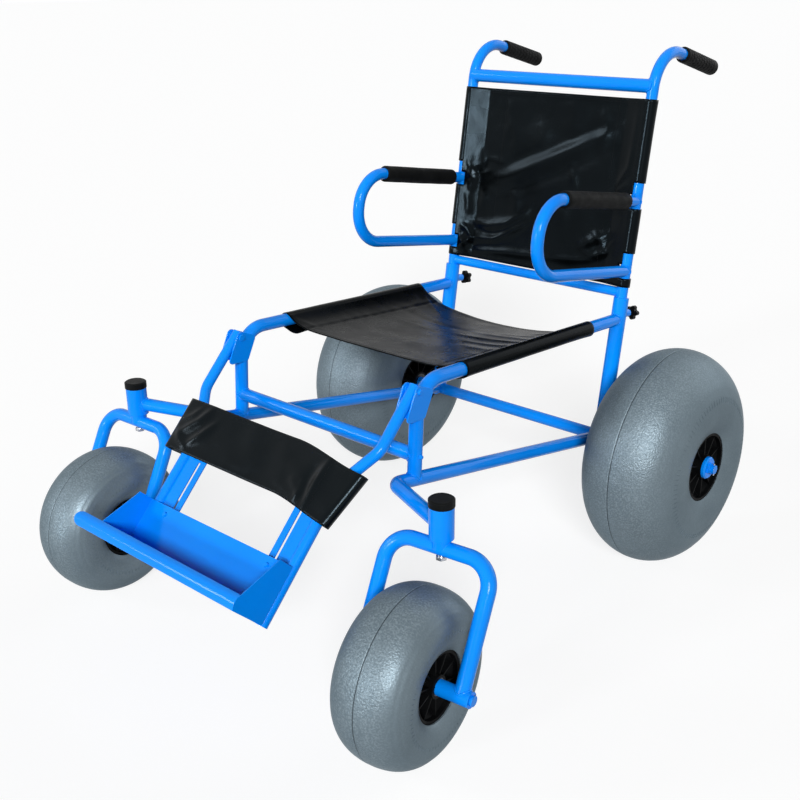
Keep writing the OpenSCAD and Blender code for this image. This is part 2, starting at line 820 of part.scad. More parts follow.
module hub(flange_d, barrel_d, hub_w, taper, bearing_d, bearing_w, bore_r, dish) {
    half = hub_w / 2;
    nose_r = bearing_d / 2 + hub_nose_wall;
    rim_r = flange_d / 2 - hub_dish_wall;
    floor_r = rim_r - (flange_d - barrel_d) / 2 * (dish - hub_lip) / taper;
    difference() {
        rotate_extrude() difference() {
            hub_envelope(flange_d / 2, barrel_d / 2, half, taper, 0);
            for (k = [0, 1]) mirror([0, k])
                hub_dish_shape(nose_r, rim_r, floor_r, half, dish, half + overrun, 0);
        }
        cylinder(r = bore_r + hub_clear, h = hub_w + 2 * overrun, center = true);
        for (k = [-1, 1]) translate([0, 0, k > 0 ? half - bearing_w : -half - overrun])
            cylinder(d = bearing_d, h = bearing_w + overrun);
    }
    for (k = [0, 1]) mirror([0, 0, k]) for (i = [0 : hub_ribs - 1])
        rotate([90, 0, i * 360 / hub_ribs]) translate([0, 0, -rib_t / 2]) linear_extrude(height = rib_t)
            hub_dish_shape(nose_r, rim_r, floor_r, half, dish, half - hub_dish_wall, weld_gap);
}

module bearing_pair(hub_w, bearing_d, bearing_w, bore_r) {
    for (k = [-1, 1]) translate([0, 0, k > 0 ? hub_w / 2 - bearing_w : -hub_w / 2]) difference() {
        cylinder(d = bearing_d - 2 * turn_gap, h = bearing_w);
        translate([0, 0, -overrun]) cylinder(r = bore_r + turn_gap, h = bearing_w + 2 * overrun);
    }
}

module at_rear_wheel(k) { translate(side(k * rear_x, axle_pt)) rotate([0, 90, 0]) children(); }

module rear_tyre_solid() {
    tyre(rear_tyre_d, rear_tyre_w, rear_tyre_w, rear_flange_d, rear_barrel_d, rear_hub_w, rear_hub_taper);
}

module rear_hub_solid() {
    hub(rear_flange_d, rear_barrel_d, rear_hub_w, rear_hub_taper, rear_bearing_d, rear_bearing_w,
        axle_r, rear_dish_depth);
}

module rear_bearing_solid() { bearing_pair(rear_hub_w, rear_bearing_d, rear_bearing_w, axle_r); }

// A caster stands at its head, turned by its swivel
module at_caster(k) {
    translate([k * head_x, head_y, 0]) rotate([0, 0, k > 0 ? left_swivel : right_swivel]) children();
}

module at_caster_wheel(k) {
    at_caster(k) translate([0, -caster_trail, caster_r]) rotate([0, 90, 0]) children();
}

fork_axle = [-caster_trail, caster_r];
fork_leg_l = norm(fork_axle - [0, crown_h]);

module fork() {
    difference() {
        union() {
            translate(side(-fork_half, fork_axle)) rotate([-fork_lean, 0, 0]) tube_chain(
                [
                    [fork_leg_l - fork_bend_r, 90, 180],
                    [fork_w - 2 * fork_bend_r, 90, 0],
                    [fork_leg_l - fork_bend_r, 0, 0]
                ],
                tube_d, fork_bend_r
            );
            for (k = [-1, 1])
                cross_bar(k * fork_boss_inner, k * fork_boss_span / 2, fork_axle, fork_boss_d / 2);
            translate([0, 0, crown_h]) cylinder(d = king_collar_d, h = head_base - rest_gap - crown_h);
        }
        cross_bar(-fork_w, fork_w, fork_axle, caster_axle_r + turn_gap);
        translate([0, 0, crown_h - tube_d]) cylinder(r = king_r + turn_gap, h = 2 * tube_d);
    }
}

module king_pin() {
    nut_top = crown_h - tube_r - rest_gap;
    translate([0, 0, nut_top - king_nut_h - overrun])
        cylinder(r = king_r, h = head_top - nut_top + 2 * king_nut_h);
    for (z = [nut_top - king_nut_h, head_top + rest_gap])
        translate([0, 0, z]) cylinder(d = king_nut_d, h = king_nut_h - overrun, $fn = 6);
}

module caster_axle() {
    seat_x = fork_boss_span / 2;
    end_x = seat_x + caster_bolt_head_h;
    cross_bar(-end_x, end_x, fork_axle, caster_axle_r);
    for (k = [-1, 1]) cross_bar(k * seat_x, k * end_x, fork_axle, caster_bolt_head_d / 2);
}

module caster_tyre_solid() {
    tyre(caster_tyre_d, caster_tyre_w, caster_shoulder_d, caster_flange_d, caster_barrel_d, caster_hub_w,
        caster_hub_taper);
}

module caster_hub_solid() {
    hub(caster_flange_d, caster_barrel_d, caster_hub_w, caster_hub_taper, caster_bearing_d,
        caster_bearing_w, caster_axle_r, caster_dish_depth);
}

module caster_bearing_solid() {
    bearing_pair(caster_hub_w, caster_bearing_d, caster_bearing_w, caster_axle_r);
}

// Legrest
jog_trim = legrest_bend_r * tan(jog_angle / 2);

module legrest_tube() {
    difference() {
        side_chain(on_legrest(-legrest_top), legrest_lean - 90) tube_chain(
            [
                [legrest_top + jog_start - jog_trim, jog_angle, -90],
                [jog_w / sin(jog_angle) - 2 * jog_trim, jog_angle, 180],
                [legrest_l - jog_end - jog_trim, 0, 0]
            ],
            legrest_d, legrest_bend_r, true
        );
        cross_bar(0, frame_w, pin_pt, pin_d / 2 + turn_gap);
    }
}

slot_r = tray_bolt_d / 2 + slide_gap;

// A flat piece of the legrest from o0 to o0 + t out of its plane
module legrest_plate(o0, t) { translate([0, 0, o0]) linear_extrude(height = t) children(); }

module slotted_plate() {
    difference() {
        legrest_plate(-plate_t / 2, plate_t) difference() {
            translate([plate_inner_w / 2, plate_start])
                square([legrest_w / 2 - plate_inner_w / 2, legrest_l - plate_start]);
            capsule([tray_bolt_w / 2, slot_start], [tray_bolt_w / 2, slot_end], slot_r, slot_r);
        }
        translate([legrest_w / 2, jog_end, 0]) rotate([-90, 0, 0])
            cylinder(r = legrest_r + weld_gap, h = legrest_l);
    }
}

// Foot tray
module tray_end_shape() {
    polygon([
        [tray_top, tray_back], [tray_top, tray_back + wall_top], [tray_foot - lip_h, wall_front],
        [tray_foot, wall_front], [tray_foot, tray_back]
    ]);
    intersection() {
        translate(lip_axis) circle(r = lip_face_r - sheet_t / 2);
        translate([tray_foot - lip_h, wall_front - sheet_t]) square([lip_h, lip_h]);
    }
}

// The lip is a strip with a rounded face and one round end, bent from the edge of the tray's floor
module tray_lip() {
    lip_x = tray_w / 2 + lip_overhang - lip_r;
    intersection() {
        legrest_plate(tray_front - 2 * sheet_t, lip_h) {
            translate([-tray_w / 2, tray_foot - lip_h]) square([tray_w / 2 + lip_x, lip_h]);
            translate([lip_x, tray_foot - lip_r]) circle(r = lip_r);
        }
        side_plate(-tray_w, 2 * tray_w) translate(lip_axis) difference() {
            circle(r = lip_face_r);
            circle(r = lip_face_r - sheet_t);
        }
    }
}

module foot_tray_solid() {
    difference() {
        union() {
            for (x = [-tray_w / 2, tray_w / 2 - sheet_t]) side_plate(x, sheet_t) tray_end_shape();
            legrest_plate(tray_back, sheet_t) translate([-tray_w / 2, tray_top]) square([tray_w, tray_h]);
            legrest_plate(tray_back, wall_front - tray_back)
                translate([-tray_w / 2, tray_foot - sheet_t]) square([tray_w, sheet_t]);
            tray_lip();
        }
        both_sides() legrest_plate(tray_back - overrun, sheet_t + 2 * overrun)
            translate([tray_bolt_w / 2, tray_bolt_s]) circle(d = tray_bolt_d + 2 * turn_gap);
    }
}

module tray_bolt() {
    seat = tray_back + sheet_t;
    back = -plate_t / 2 - slide_gap - tray_nut_h;
    spacer_start = plate_t / 2 + slide_gap;
    translate([tray_bolt_w / 2, tray_bolt_s, 0]) {
        translate([0, 0, back]) cylinder(d = tray_bolt_d, h = seat - back);
        translate([0, 0, seat])
            cylinder(d1 = tray_bolt_head_d, d2 = tray_bolt_head_d - tray_bolt_head_h, h = tray_bolt_head_h);
        translate([0, 0, back]) cylinder(d = tray_nut_d, h = tray_nut_h, $fn = 6);
        translate([0, 0, spacer_start]) cylinder(d = spacer_d, h = tray_back - spacer_start);
    }
}

// Half of a sling's cross-section over one bar at x = w, as [x, height] points at a radius r about the bar
wrap_steps = 14;
span_steps = 12;
span_ease = 1.6;
hem_power = 8;
wrap_stop = -150;

function sling_half(w, r, sag, hem) =
    let (
        lean = atan((2 * (sag - hem) + hem_power * hem) / w),
        edge = w - r * sin(lean),
        top = r * cos(lean)
    )
    concat(
        [for (i = [0 : span_steps - 1]) let (k = 1 - pow(1 - i / span_steps, span_ease))
            [k * edge, top - hem * (1 - pow(k, hem_power)) - (sag - hem) * (1 - k * k)]],
        [for (i = [0 : wrap_steps]) let (a = 90 + lean + (wrap_stop - 90 - lean) * i / wrap_steps)
            [w + r * cos(a), r * sin(a)]]
    );

// The strap sags between the tubes, lies flat over them, and its ends fold round to the back
strap_span = legrest_w / 2 - legrest_r;

function strap_half(w, r, sag, tail) =
    concat(
        [for (i = [0 : span_steps - 1]) let (x = i / span_steps * (w - r), k = min(1, x / strap_span))
            [x, r - sag * (1 - k * k) * (1 - k * k)]],
        [for (i = [0 : wrap_steps]) let (a = 90 - 180 * i / wrap_steps) [w - r + r * cos(a), r * sin(a)]],
        [[w - r - tail, -r]]
    );

function joined_row(left, right) = concat(
    [for (i = [len(right) - 1 : -1 : 1]) [-right[i][0], right[i][1]]],
    left
);

function full_row(half) = joined_row(half, half);

// A closed sheet between an outer and an inner grid of points, each a list of rows
module sheet_solid(outer, inner) {
    rows = len(outer);
    cols = len(outer[0]);
    last = rows * cols;
    function at(j, i) = j * cols + i;
    function under(j, i) = last + at(j, i);
    function quad(a, b, c, d) = [[a, b, c], [a, c, d]];
    polyhedron(
        points = concat([for (row = outer) each row], [for (row = inner) each row]),
        faces = concat(
            [for (j = [0 : rows - 2], i = [0 : cols - 2])
                each quad(at(j, i), at(j + 1, i), at(j + 1, i + 1), at(j, i + 1))],
            [for (j = [0 : rows - 2], i = [0 : cols - 2])
                each quad(under(j, i), under(j, i + 1), under(j + 1, i + 1), under(j + 1, i))],
            [for (j = [0 : rows - 2]) each quad(at(j, 0), under(j, 0), under(j + 1, 0), at(j + 1, 0))],
            [for (j = [0 : rows - 2])
                each quad(at(j, cols - 1), at(j + 1, cols - 1), under(j + 1, cols - 1), under(j, cols - 1))],
            [for (i = [0 : cols - 2]) each quad(at(0, i), at(0, i + 1), under(0, i + 1), under(0, i))],
            [for (i = [0 : cols - 2])
                each quad(at(rows - 1, i), under(rows - 1, i), under(rows - 1, i + 1), at(rows - 1, i + 1))]
        )
    );
}

// Radii of a cover's inner and outer face over a bar
function cover_r(bar_r) = [bar_r + cover_gap, bar_r + cover_gap + vinyl_t];

sling_rows = 8;

function seat_rows(r) = [
    for (j = [0 : sling_rows]) let (
        k = j / sling_rows,
        p = seat_root + (seat_sling_start + k * seat_sling_l) * seat_fwd,
        sag = seat_sag_rear + (seat_sag_front - seat_sag_rear) * k
    ) [for (q = full_row(sling_half(half_w, r, sag, seat_hem_drop))) side(q[0], p + q[1] * seat_up)]
];

function back_rows(r) = [
    for (j = [0 : sling_rows]) let (
        p = on_back(back_sling_top + (back_sling_bottom - back_sling_top) * j / sling_rows)
    ) [for (q = full_row(sling_half(half_w, r, back_sag, 0))) side(q[0], p + q[1] * back_fwd)]
];

strap_tail = 30;
strap_rows = 5;
slip_start_share = 0.25;

function slip_at(x) =
    let (k = min(1, max(0, (x / strap_left_top - slip_start_share) / (1 - slip_start_share))))
    strap_slip * k * k * (3 - 2 * k);

function strap_grid(r) = [
    for (j = [0 : strap_rows]) let (
        k = j / strap_rows,
        inset = cover_gap + vinyl_t + legrest_r - r,
        left_w = strap_left_top + (strap_left_low - strap_left_top) * k,
        left = strap_half(left_w - inset, r, strap_sag, strap_tail),
        right = strap_half(strap_right - inset, r, strap_sag, strap_tail)
    ) [
        for (q = joined_row(left, right))
            side(q[0], on_legrest(strap_start + slip_at(q[0]) + strap_l * k, q[1]))
    ]
];

module back_cuts() {
    depth = tube_d + cover_gap + vinyl_t;
    both_sides() for (l = [arm_top_l, arm_low_l])
        translate(side(half_w - arm_r - rest_gap, on_back(l - cut_below))) rotate([-back_recline, 0, 0])
            translate([0, -depth, 0]) cube([2 * depth, 2 * depth, cut_below + cut_above]);
}

// Frame nodes
module left_seat_rail() { color(frame_blue) placed() seat_rail(); }
module right_seat_rail() { color(frame_blue) placed() mirrored() seat_rail(); }
module left_upright() { color(frame_blue) placed() upright(); }
module right_upright() { color(frame_blue) placed() mirrored() upright(); }
module left_side_rail() { color(frame_blue) placed() side_rail(); }
module right_side_rail() { color(frame_blue) placed() mirrored() side_rail(); }
module rear_axle_tube() { color(frame_blue) placed() rear_axle_tube_solid(); }
module front_cross_tube() { color(frame_blue) placed() front_cross_tube_solid(); }
module left_hinge_bracket() { color(frame_blue) placed() hinge_bracket(); }
module right_hinge_bracket() { color(frame_blue) placed() mirrored() hinge_bracket(); }
module hinge_bolts() { color(steel_grey) placed() both_sides() hinge_bolt(); }
module left_head_tube() { color(frame_blue) placed() head_tube(); }
module right_head_tube() { color(frame_blue) placed() mirrored() head_tube(); }
module head_bearings() { color(steel_grey) placed() both_sides() head_bearing_pair(); }
module head_caps() { color(plastic_black) placed() both_sides() head_cap(); }
module left_stub_axle() { color(frame_blue) placed() stub_axle(); }
module right_stub_axle() { color(frame_blue) placed() mirrored() stub_axle(); }
module axle_nuts() { color(frame_blue) placed() both_sides() axle_nut(); }
module split_pins() { color(steel_grey) placed() both_sides() split_pin(); }
module frame_bolts() { color(steel_grey) placed() both_sides() frame_bolt_set(); }
module clamp_bosses() { color(frame_blue) placed() both_sides() clamp_boss(); }
module seat_sling() {
    color(vinyl_black) placed()
        sheet_solid(seat_rows(cover_r(tube_r)[1]), seat_rows(cover_r(tube_r)[0]));
}

// Backrest nodes
module left_cane() { color(frame_blue) placed() cane(); }
module right_cane() { color(frame_blue) placed() mirrored() cane(); }
module upper_crossbar() { color(frame_blue) placed() back_bar(upper_bar_l, upper_bar_d); }
module lower_crossbar() { color(frame_blue) placed() back_bar(lower_bar_l, lower_bar_d); }
module left_armrest() { color(frame_blue) placed() armrest(); }
module right_armrest() { color(frame_blue) placed() mirrored() armrest(); }
module left_arm_pad() { color(plastic_black) placed() arm_pad(); }
module right_arm_pad() { color(plastic_black) placed() mirrored() arm_pad(); }
module left_push_grip() { color(plastic_black) placed() push_grip(); }
module right_push_grip() { color(plastic_black) placed() mirrored() push_grip(); }
module back_sling() {
    color(vinyl_black) placed() difference() {
        sheet_solid(back_rows(cover_r(cane_r)[1]), back_rows(cover_r(cane_r)[0]));
        back_cuts();
    }
}

// Clamp knob nodes
module left_clamp_knob() { color(plastic_black) placed() clamp_knob(); }
module right_clamp_knob() { color(plastic_black) placed() mirrored() clamp_knob(); }

// Caster nodes
module left_fork() { color(frame_blue) placed() at_caster(1) fork(); }
module right_fork() { color(frame_blue) placed() at_caster(-1) fork(); }
module left_king_pin() { color(steel_grey) placed() at_caster(1) king_pin(); }
module right_king_pin() { color(steel_grey) placed() at_caster(-1) king_pin(); }
module left_caster_axle() { color(frame_blue) placed() at_caster(1) caster_axle(); }
module right_caster_axle() { color(frame_blue) placed() at_caster(-1) caster_axle(); }
module left_caster_tyre() { color(tyre_grey) placed() at_caster_wheel(1) caster_tyre_solid(); }
module right_caster_tyre() { color(tyre_grey) placed() at_caster_wheel(-1) caster_tyre_solid(); }
module left_caster_hub() { color(plastic_black) placed() at_caster_wheel(1) caster_hub_solid(); }
module right_caster_hub() { color(plastic_black) placed() at_caster_wheel(-1) caster_hub_solid(); }
module left_caster_bearings() { color(steel_grey) placed() at_caster_wheel(1) caster_bearing_solid(); }
module right_caster_bearings() { color(steel_grey) placed() at_caster_wheel(-1) caster_bearing_solid(); }

// Rear wheel nodes
module left_rear_tyre() { color(tyre_grey) placed() at_rear_wheel(1) rear_tyre_solid(); }
module right_rear_tyre() { color(tyre_grey) placed() at_rear_wheel(-1) rear_tyre_solid(); }
module left_rear_hub() { color(plastic_black) placed() at_rear_wheel(1) rear_hub_solid(); }
module right_rear_hub() { color(plastic_black) placed() at_rear_wheel(-1) rear_hub_solid(); }
module left_rear_bearings() { color(steel_grey) placed() at_rear_wheel(1) rear_bearing_solid(); }
module right_rear_bearings() { color(steel_grey) placed() at_rear_wheel(-1) rear_bearing_solid(); }

// Legrest and tray nodes
module left_legrest_tube() { color(frame_blue) placed() legrest_tube(); }
module right_legrest_tube() { color(frame_blue) placed() mirrored() legrest_tube(); }
module slotted_plates() { color(frame_blue) placed() legrest_frame() both_sides() slotted_plate(); }
module calf_strap() {
    color(vinyl_black) placed()
        sheet_solid(strap_grid(cover_r(legrest_r)[1]), strap_grid(cover_r(legrest_r)[0]));
}
module foot_tray() { color(frame_blue) placed() legrest_frame() foot_tray_solid(); }
module tray_bolts() { color(steel_grey) placed() legrest_frame() both_sides() tray_bolt(); }

left_seat_rail();
right_seat_rail();
left_upright();
right_upright();
left_side_rail();
right_side_rail();
rear_axle_tube();
front_cross_tube();
left_hinge_bracket();
right_hinge_bracket();
hinge_bolts();
left_head_tube();
right_head_tube();
head_bearings();
head_caps();
left_stub_axle();
right_stub_axle();
axle_nuts();
split_pins();
frame_bolts();
clamp_bosses();
seat_sling();
left_cane();
right_cane();
upper_crossbar();
lower_crossbar();
left_armrest();
right_armrest();
left_arm_pad();
right_arm_pad();
left_push_grip();
right_push_grip();
back_sling();
left_clamp_knob();
right_clamp_knob();
left_fork();
right_fork();
left_king_pin();
right_king_pin();
left_caster_axle();
right_caster_axle();
left_caster_tyre();
right_caster_tyre();
left_caster_hub();
right_caster_hub();
left_caster_bearings();
right_caster_bearings();
left_rear_tyre();
right_rear_tyre();
left_rear_hub();
right_rear_hub();
left_rear_bearings();
right_rear_bearings();
left_legrest_tube();
right_legrest_tube();
slotted_plates();
calf_strap();
foot_tray();
tray_bolts();
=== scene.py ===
"""Beach wheelchair: finishes, cloth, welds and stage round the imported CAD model."""

import math

import bpy
import numpy as np
from mathutils import Matrix, Vector, noise


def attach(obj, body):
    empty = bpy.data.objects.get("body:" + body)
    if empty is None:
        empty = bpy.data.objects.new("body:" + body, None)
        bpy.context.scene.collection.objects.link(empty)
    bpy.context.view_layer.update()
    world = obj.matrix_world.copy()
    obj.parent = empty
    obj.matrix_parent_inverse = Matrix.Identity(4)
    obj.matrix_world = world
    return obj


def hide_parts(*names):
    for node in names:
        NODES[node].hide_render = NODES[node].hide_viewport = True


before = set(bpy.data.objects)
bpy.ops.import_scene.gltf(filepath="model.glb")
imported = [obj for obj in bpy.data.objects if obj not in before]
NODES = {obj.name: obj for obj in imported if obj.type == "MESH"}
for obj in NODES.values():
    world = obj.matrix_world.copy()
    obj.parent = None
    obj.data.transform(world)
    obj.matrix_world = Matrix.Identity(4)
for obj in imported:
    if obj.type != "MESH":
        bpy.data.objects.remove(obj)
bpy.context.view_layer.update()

# The chair's measures in millimetres, as in the part's source. The chair faces -Y, its left is +X
MM = 0.001
HALF_W = 248.0
TUBE_R = 14.0
UPRIGHT_R = 17.45
CANE_R = 12.7
ARM_R = 13.2
UPPER_BAR_R = 15.0
LEGREST_R = 11.1
AXLE = np.array([342.4264, 245.0])
RECLINE = math.radians(9.4)
SEAT_TILT = math.radians(3.6)
LEG_LEAN = math.radians(44.4)
DROOP = math.radians(14.4)
BACK_UP = np.array([math.sin(RECLINE), math.cos(RECLINE)])
BACK_FWD = np.array([-math.cos(RECLINE), math.sin(RECLINE)])
SEAT_FWD = np.array([-math.cos(SEAT_TILT), math.sin(SEAT_TILT)])
SEAT_UP = np.array([math.sin(SEAT_TILT), math.cos(SEAT_TILT)])
LEG_DOWN = np.array([-math.sin(LEG_LEAN), -math.cos(LEG_LEAN)])
LEG_OUT = np.array([-math.cos(LEG_LEAN), math.sin(LEG_LEAN)])
HANDLE = np.array([math.cos(DROOP), -math.sin(DROOP)])
OUT, UP = np.array([1.0, 0.0, 0.0]), np.array([0.0, 0.0, 1.0])


def on_back(l, ahead=0.0):
    """A place in side view: l up the canes from the axle, and ahead of them."""
    return AXLE + l * BACK_UP + ahead * BACK_FWD


SEAT_ROOT = on_back(282.0)
RAIL_CORNER = SEAT_ROOT + 706.0 * SEAT_FWD
LEG_FOOT = RAIL_CORNER - 191.0 * SEAT_UP
CROSS = LEG_FOOT + 49.0 * SEAT_UP
PIN = RAIL_CORNER + np.array([-14.0, -9.5])


def on_legrest(s, o=0.0):
    """A place in side view: s down the legrest's tubes from their pin, and o out of their plane."""
    return PIN + s * LEG_DOWN + o * LEG_OUT


def side(x, p):
    """A point in space from its x and its [y, z] place in side view."""
    return np.array([x, p[0], p[1]])


def along(p):
    """A direction in side view as a direction in space."""
    return np.array([0.0, p[0], p[1]])


# Materials

# The places of the colours among the inputs and outputs of a Mix node
COLOUR_A, COLOUR_B, MIXED_COLOUR = 6, 7, 2


class Nodes:
    """A node tree under construction, with short ways to add and join nodes."""

    def __init__(self, tree):
        self.tree = tree

    def join(self, source, target):
        self.tree.links.new(source, target)

    def add(self, kind, inputs=None, **settings):
        """A new node. Each input is a number, a colour or the output of another node."""
        made = self.tree.nodes.new("ShaderNode" + kind)
        for key, value in settings.items():
            setattr(made, key, value)
        for key, value in (inputs or {}).items():
            if isinstance(value, (int, float)):
                made.inputs[key].default_value = value
            elif isinstance(value, tuple):
                made.inputs[key].default_value = (*value, 1.0)
            else:
                self.join(value, made.inputs[key])
        return made

    def math(self, operation, a, b):
        return self.add("Math", {0: a, 1: b}, operation=operation).outputs[0]

    def ramp(self, source, low, high, to_low, to_high):
        ends = {"From Min": low, "From Max": high, "To Min": to_low, "To Max": to_high}
        return self.add("MapRange", {"Value": source, **ends}, clamp=True).outputs["Result"]


class Finish(Nodes):
    """A material under construction."""

    def __init__(self, name):
        self.material = bpy.data.materials.new(name)
        self.material.use_nodes = True
        super().__init__(self.material.node_tree)
        self.shader = self.tree.nodes["Principled BSDF"]

    def set(self, **values):
        for key, value in values.items():
            self.shader.inputs[key.replace("_", " ")].default_value = value

    def place(self):
        return self.add("TexCoord").outputs["Object"]

    def noise(self, scale, detail=2.0, rough=0.5):
        inputs = {"Scale": scale, "Detail": detail, "Roughness": rough, "Vector": self.place()}
        return self.add("TexNoise", inputs).outputs["Fac"]

    def cells(self, scale, feature="F1"):
        inputs = {"Scale": scale, "Vector": self.place()}
        return self.add("TexVoronoi", inputs, feature=feature).outputs["Distance"]

    def mix(self, factor, low, high):
        inputs = {"Factor": factor, COLOUR_A: low, COLOUR_B: high}
        return self.add("Mix", inputs, data_type="RGBA").outputs[MIXED_COLOUR]

    def blotches(self, scale, detail, low, high, first, second, rough=0.5):
        """Two colours that drift into each other."""
        return self.mix(self.ramp(self.noise(scale, detail, rough), low, high, 0.0, 1.0), first, second)

    def uneven(self, scale, detail, low, high, rough=0.5):
        """A value that drifts between low and high."""
        return self.ramp(self.noise(scale, detail, rough), 0.3, 0.7, low, high)

    def bump(self, height, strength, distance, normal=None):
        inputs = {"Strength": strength, "Distance": distance, "Height": height}
        if normal is not None:
            inputs["Normal"] = normal
        return self.add("Bump", inputs).outputs["Normal"]

    def soft_edge(self, radius):
        return self.add("Bevel", {"Radius": radius}, samples=4).outputs["Normal"]

    def edge_mask(self, rounded):
        """1 on edges, 0 on open faces, from a rounded normal."""
        flat = self.add("NewGeometry").outputs["Normal"]
        dot = self.add("VectorMath", {0: rounded, 1: flat}, operation="DOT_PRODUCT")
        return self.ramp(dot.outputs["Value"], 0.995, 0.9, 0.0, 1.0)

    def end(self, colour=None, rough=None, normal=None):
        for socket, key in ((colour, "Base Color"), (rough, "Roughness"), (normal, "Normal")):
            if socket is not None:
                self.join(socket, self.shader.inputs[key])
        return self.material


def blue_paint():
    """Gloss powder coat: faint orange peel, slight drift of shade, edges painted a paler blue as a
    highlight, partly wear.
    """
    f = Finish("blue_paint")
    rounded = f.soft_edge(0.0012)
    shade = f.blotches(7.0, 3.0, 0.35, 0.65, (0.0010, 0.245, 0.91), (0.0015, 0.265, 0.96))
    # Edges painted a paler blue: a painted highlight along the edges, partly wear.
    worn = f.math("MULTIPLY", f.edge_mask(rounded), f.ramp(f.noise(60.0, 4.0), 0.4, 0.7, 0.1, 0.55))
    colour = f.mix(worn, shade, (0.05, 0.36, 0.96))
    f.set(Specular_IOR_Level=0.13)
    peel = f.bump(f.noise(420.0, 2.0), 0.06, 0.0006, rounded)
    return f.end(colour, f.uneven(25.0, 3.0, 0.10, 0.16), peel)


def black_vinyl(name, gloss, low, high):
    """Coated cloth: fine leather grain, gloss that drifts across it."""
    f = Finish(name)
    colour = f.blotches(9.0, 4.0, 0.35, 0.7, (0.0008, 0.0011, 0.0013), (0.0022, 0.0028, 0.0031))
    rough = f.uneven(14.0, 5.0, low, high, rough=0.6)
    grain = f.math("ADD", f.cells(520.0), f.math("MULTIPLY", f.noise(900.0, 3.0), 0.5))
    f.set(Specular_IOR_Level=gloss, Specular_Tint=(0.62, 0.84, 1.0, 1.0))
    return f.end(colour, rough, f.bump(grain, 0.14, 0.0006))


def tyre_skin(name, band, fade):
    """Pearl grey balloon tyre about its own x axis: pebbled tread with pale flecks, partly pigment and
    partly painted glints, smoother side walls, and a mould line painted dark as the shade in its groove.

    band is half the tread's width and fade the width over which it ends, in metres."""
    f = Finish(name)
    split = f.add("SeparateXYZ", {0: f.place()})
    across = f.math("ABSOLUTE", split.outputs["X"], 0.0)
    tread = f.ramp(across, band + fade, band - fade, 0.25, 1.0)
    pebble = f.math("ADD", f.cells(330.0, "SMOOTH_F1"), f.math("MULTIPLY", f.noise(240.0, 4.0, 0.65), 1.3))
    height = f.math("MULTIPLY", pebble, tread)
    drift = f.blotches(11.0, 4.0, 0.3, 0.7, (0.128, 0.167, 0.193), (0.158, 0.203, 0.232))
    # Pale flecks on the tread: partly pigment, partly painted glints of its pebbles.
    fleck_and_glint = f.math("MULTIPLY", f.ramp(f.noise(300.0, 2.0), 0.44, 0.66, 0.0, 0.3), tread)
    skin = f.mix(fleck_and_glint, drift, (0.36, 0.43, 0.47))
    # The mould line painted dark: painted shade in its groove.
    colour = f.mix(f.ramp(across, 0.0011, 0.0005, 0.0, 0.85), skin, (0.020, 0.026, 0.030))
    f.set(Metallic=0.4, Specular_IOR_Level=0.1, Specular_Tint=(0.30, 0.38, 0.44, 1.0))
    return f.end(colour, f.uneven(30.0, 4.0, 0.36, 0.44), f.bump(height, 0.45, 0.0015))


def moulded(name, dark, pale, rough, grain, strength, edge=0.0006, level=0.05, rub=0.4):
    """Moulded plastic or rubber with a fine matt grain and edges painted paler: a painted edge highlight,
    partly rubbing.
    """
    f = Finish(name)
    rounded = f.soft_edge(edge)
    shade = f.blotches(40.0, 3.0, 0.35, 0.65, dark, pale)
    # Paler colour mixed in at the edges: a painted highlight, partly rubbing.
    lit = tuple(3.0 * c + 0.004 for c in pale)
    colour = f.mix(f.math("MULTIPLY", f.edge_mask(rounded), rub), shade, lit)
    f.set(Specular_IOR_Level=level)
    sheen = f.uneven(55.0, 3.0, rough - 0.06, rough + 0.08)
    return f.end(colour, sheen, f.bump(f.noise(grain, 3.0), strength, 0.0004, rounded))


def foam():
    """Closed-cell foam sleeve: open fine pores and a soft dusty bloom."""
    f = Finish("foam")
    colour = f.blotches(18.0, 4.0, 0.3, 0.7, (0.0030, 0.0034, 0.0036), (0.0065, 0.0070, 0.0072))
    pores = f.math("ADD", f.cells(640.0), f.noise(380.0, 4.0, 0.7))
    f.set(Specular_IOR_Level=0.06, Sheen_Weight=0.012, Sheen_Roughness=0.5)
    return f.end(colour, f.uneven(70.0, 3.0, 0.58, 0.76), f.bump(pores, 0.3, 0.0007))


def steel(name, bright, dull):
    """Plated steel with fine turning marks and a little tarnish."""
    f = Finish(name)
    colour = f.blotches(90.0, 5.0, 0.35, 0.7, bright, dull, rough=0.6)
    f.set(Metallic=1.0)
    marks = f.bump(f.noise(1500.0, 2.0), 0.08, 0.0002, f.soft_edge(0.0005))
    return f.end(colour, f.uneven(220.0, 3.0, 0.2, 0.36), marks)


def thread():
    """Twisted black thread."""
    f = Finish("thread")
    colour = f.blotches(1200.0, 2.0, 0.4, 0.6, (0.003, 0.0034, 0.0038), (0.009, 0.010, 0.011))
    f.set(Specular_IOR_Level=0.08, Sheen_Weight=0.02)
    return f.end(colour, f.uneven(900.0, 2.0, 0.6, 0.8), f.bump(f.noise(2500.0, 2.0), 0.3, 0.0002))


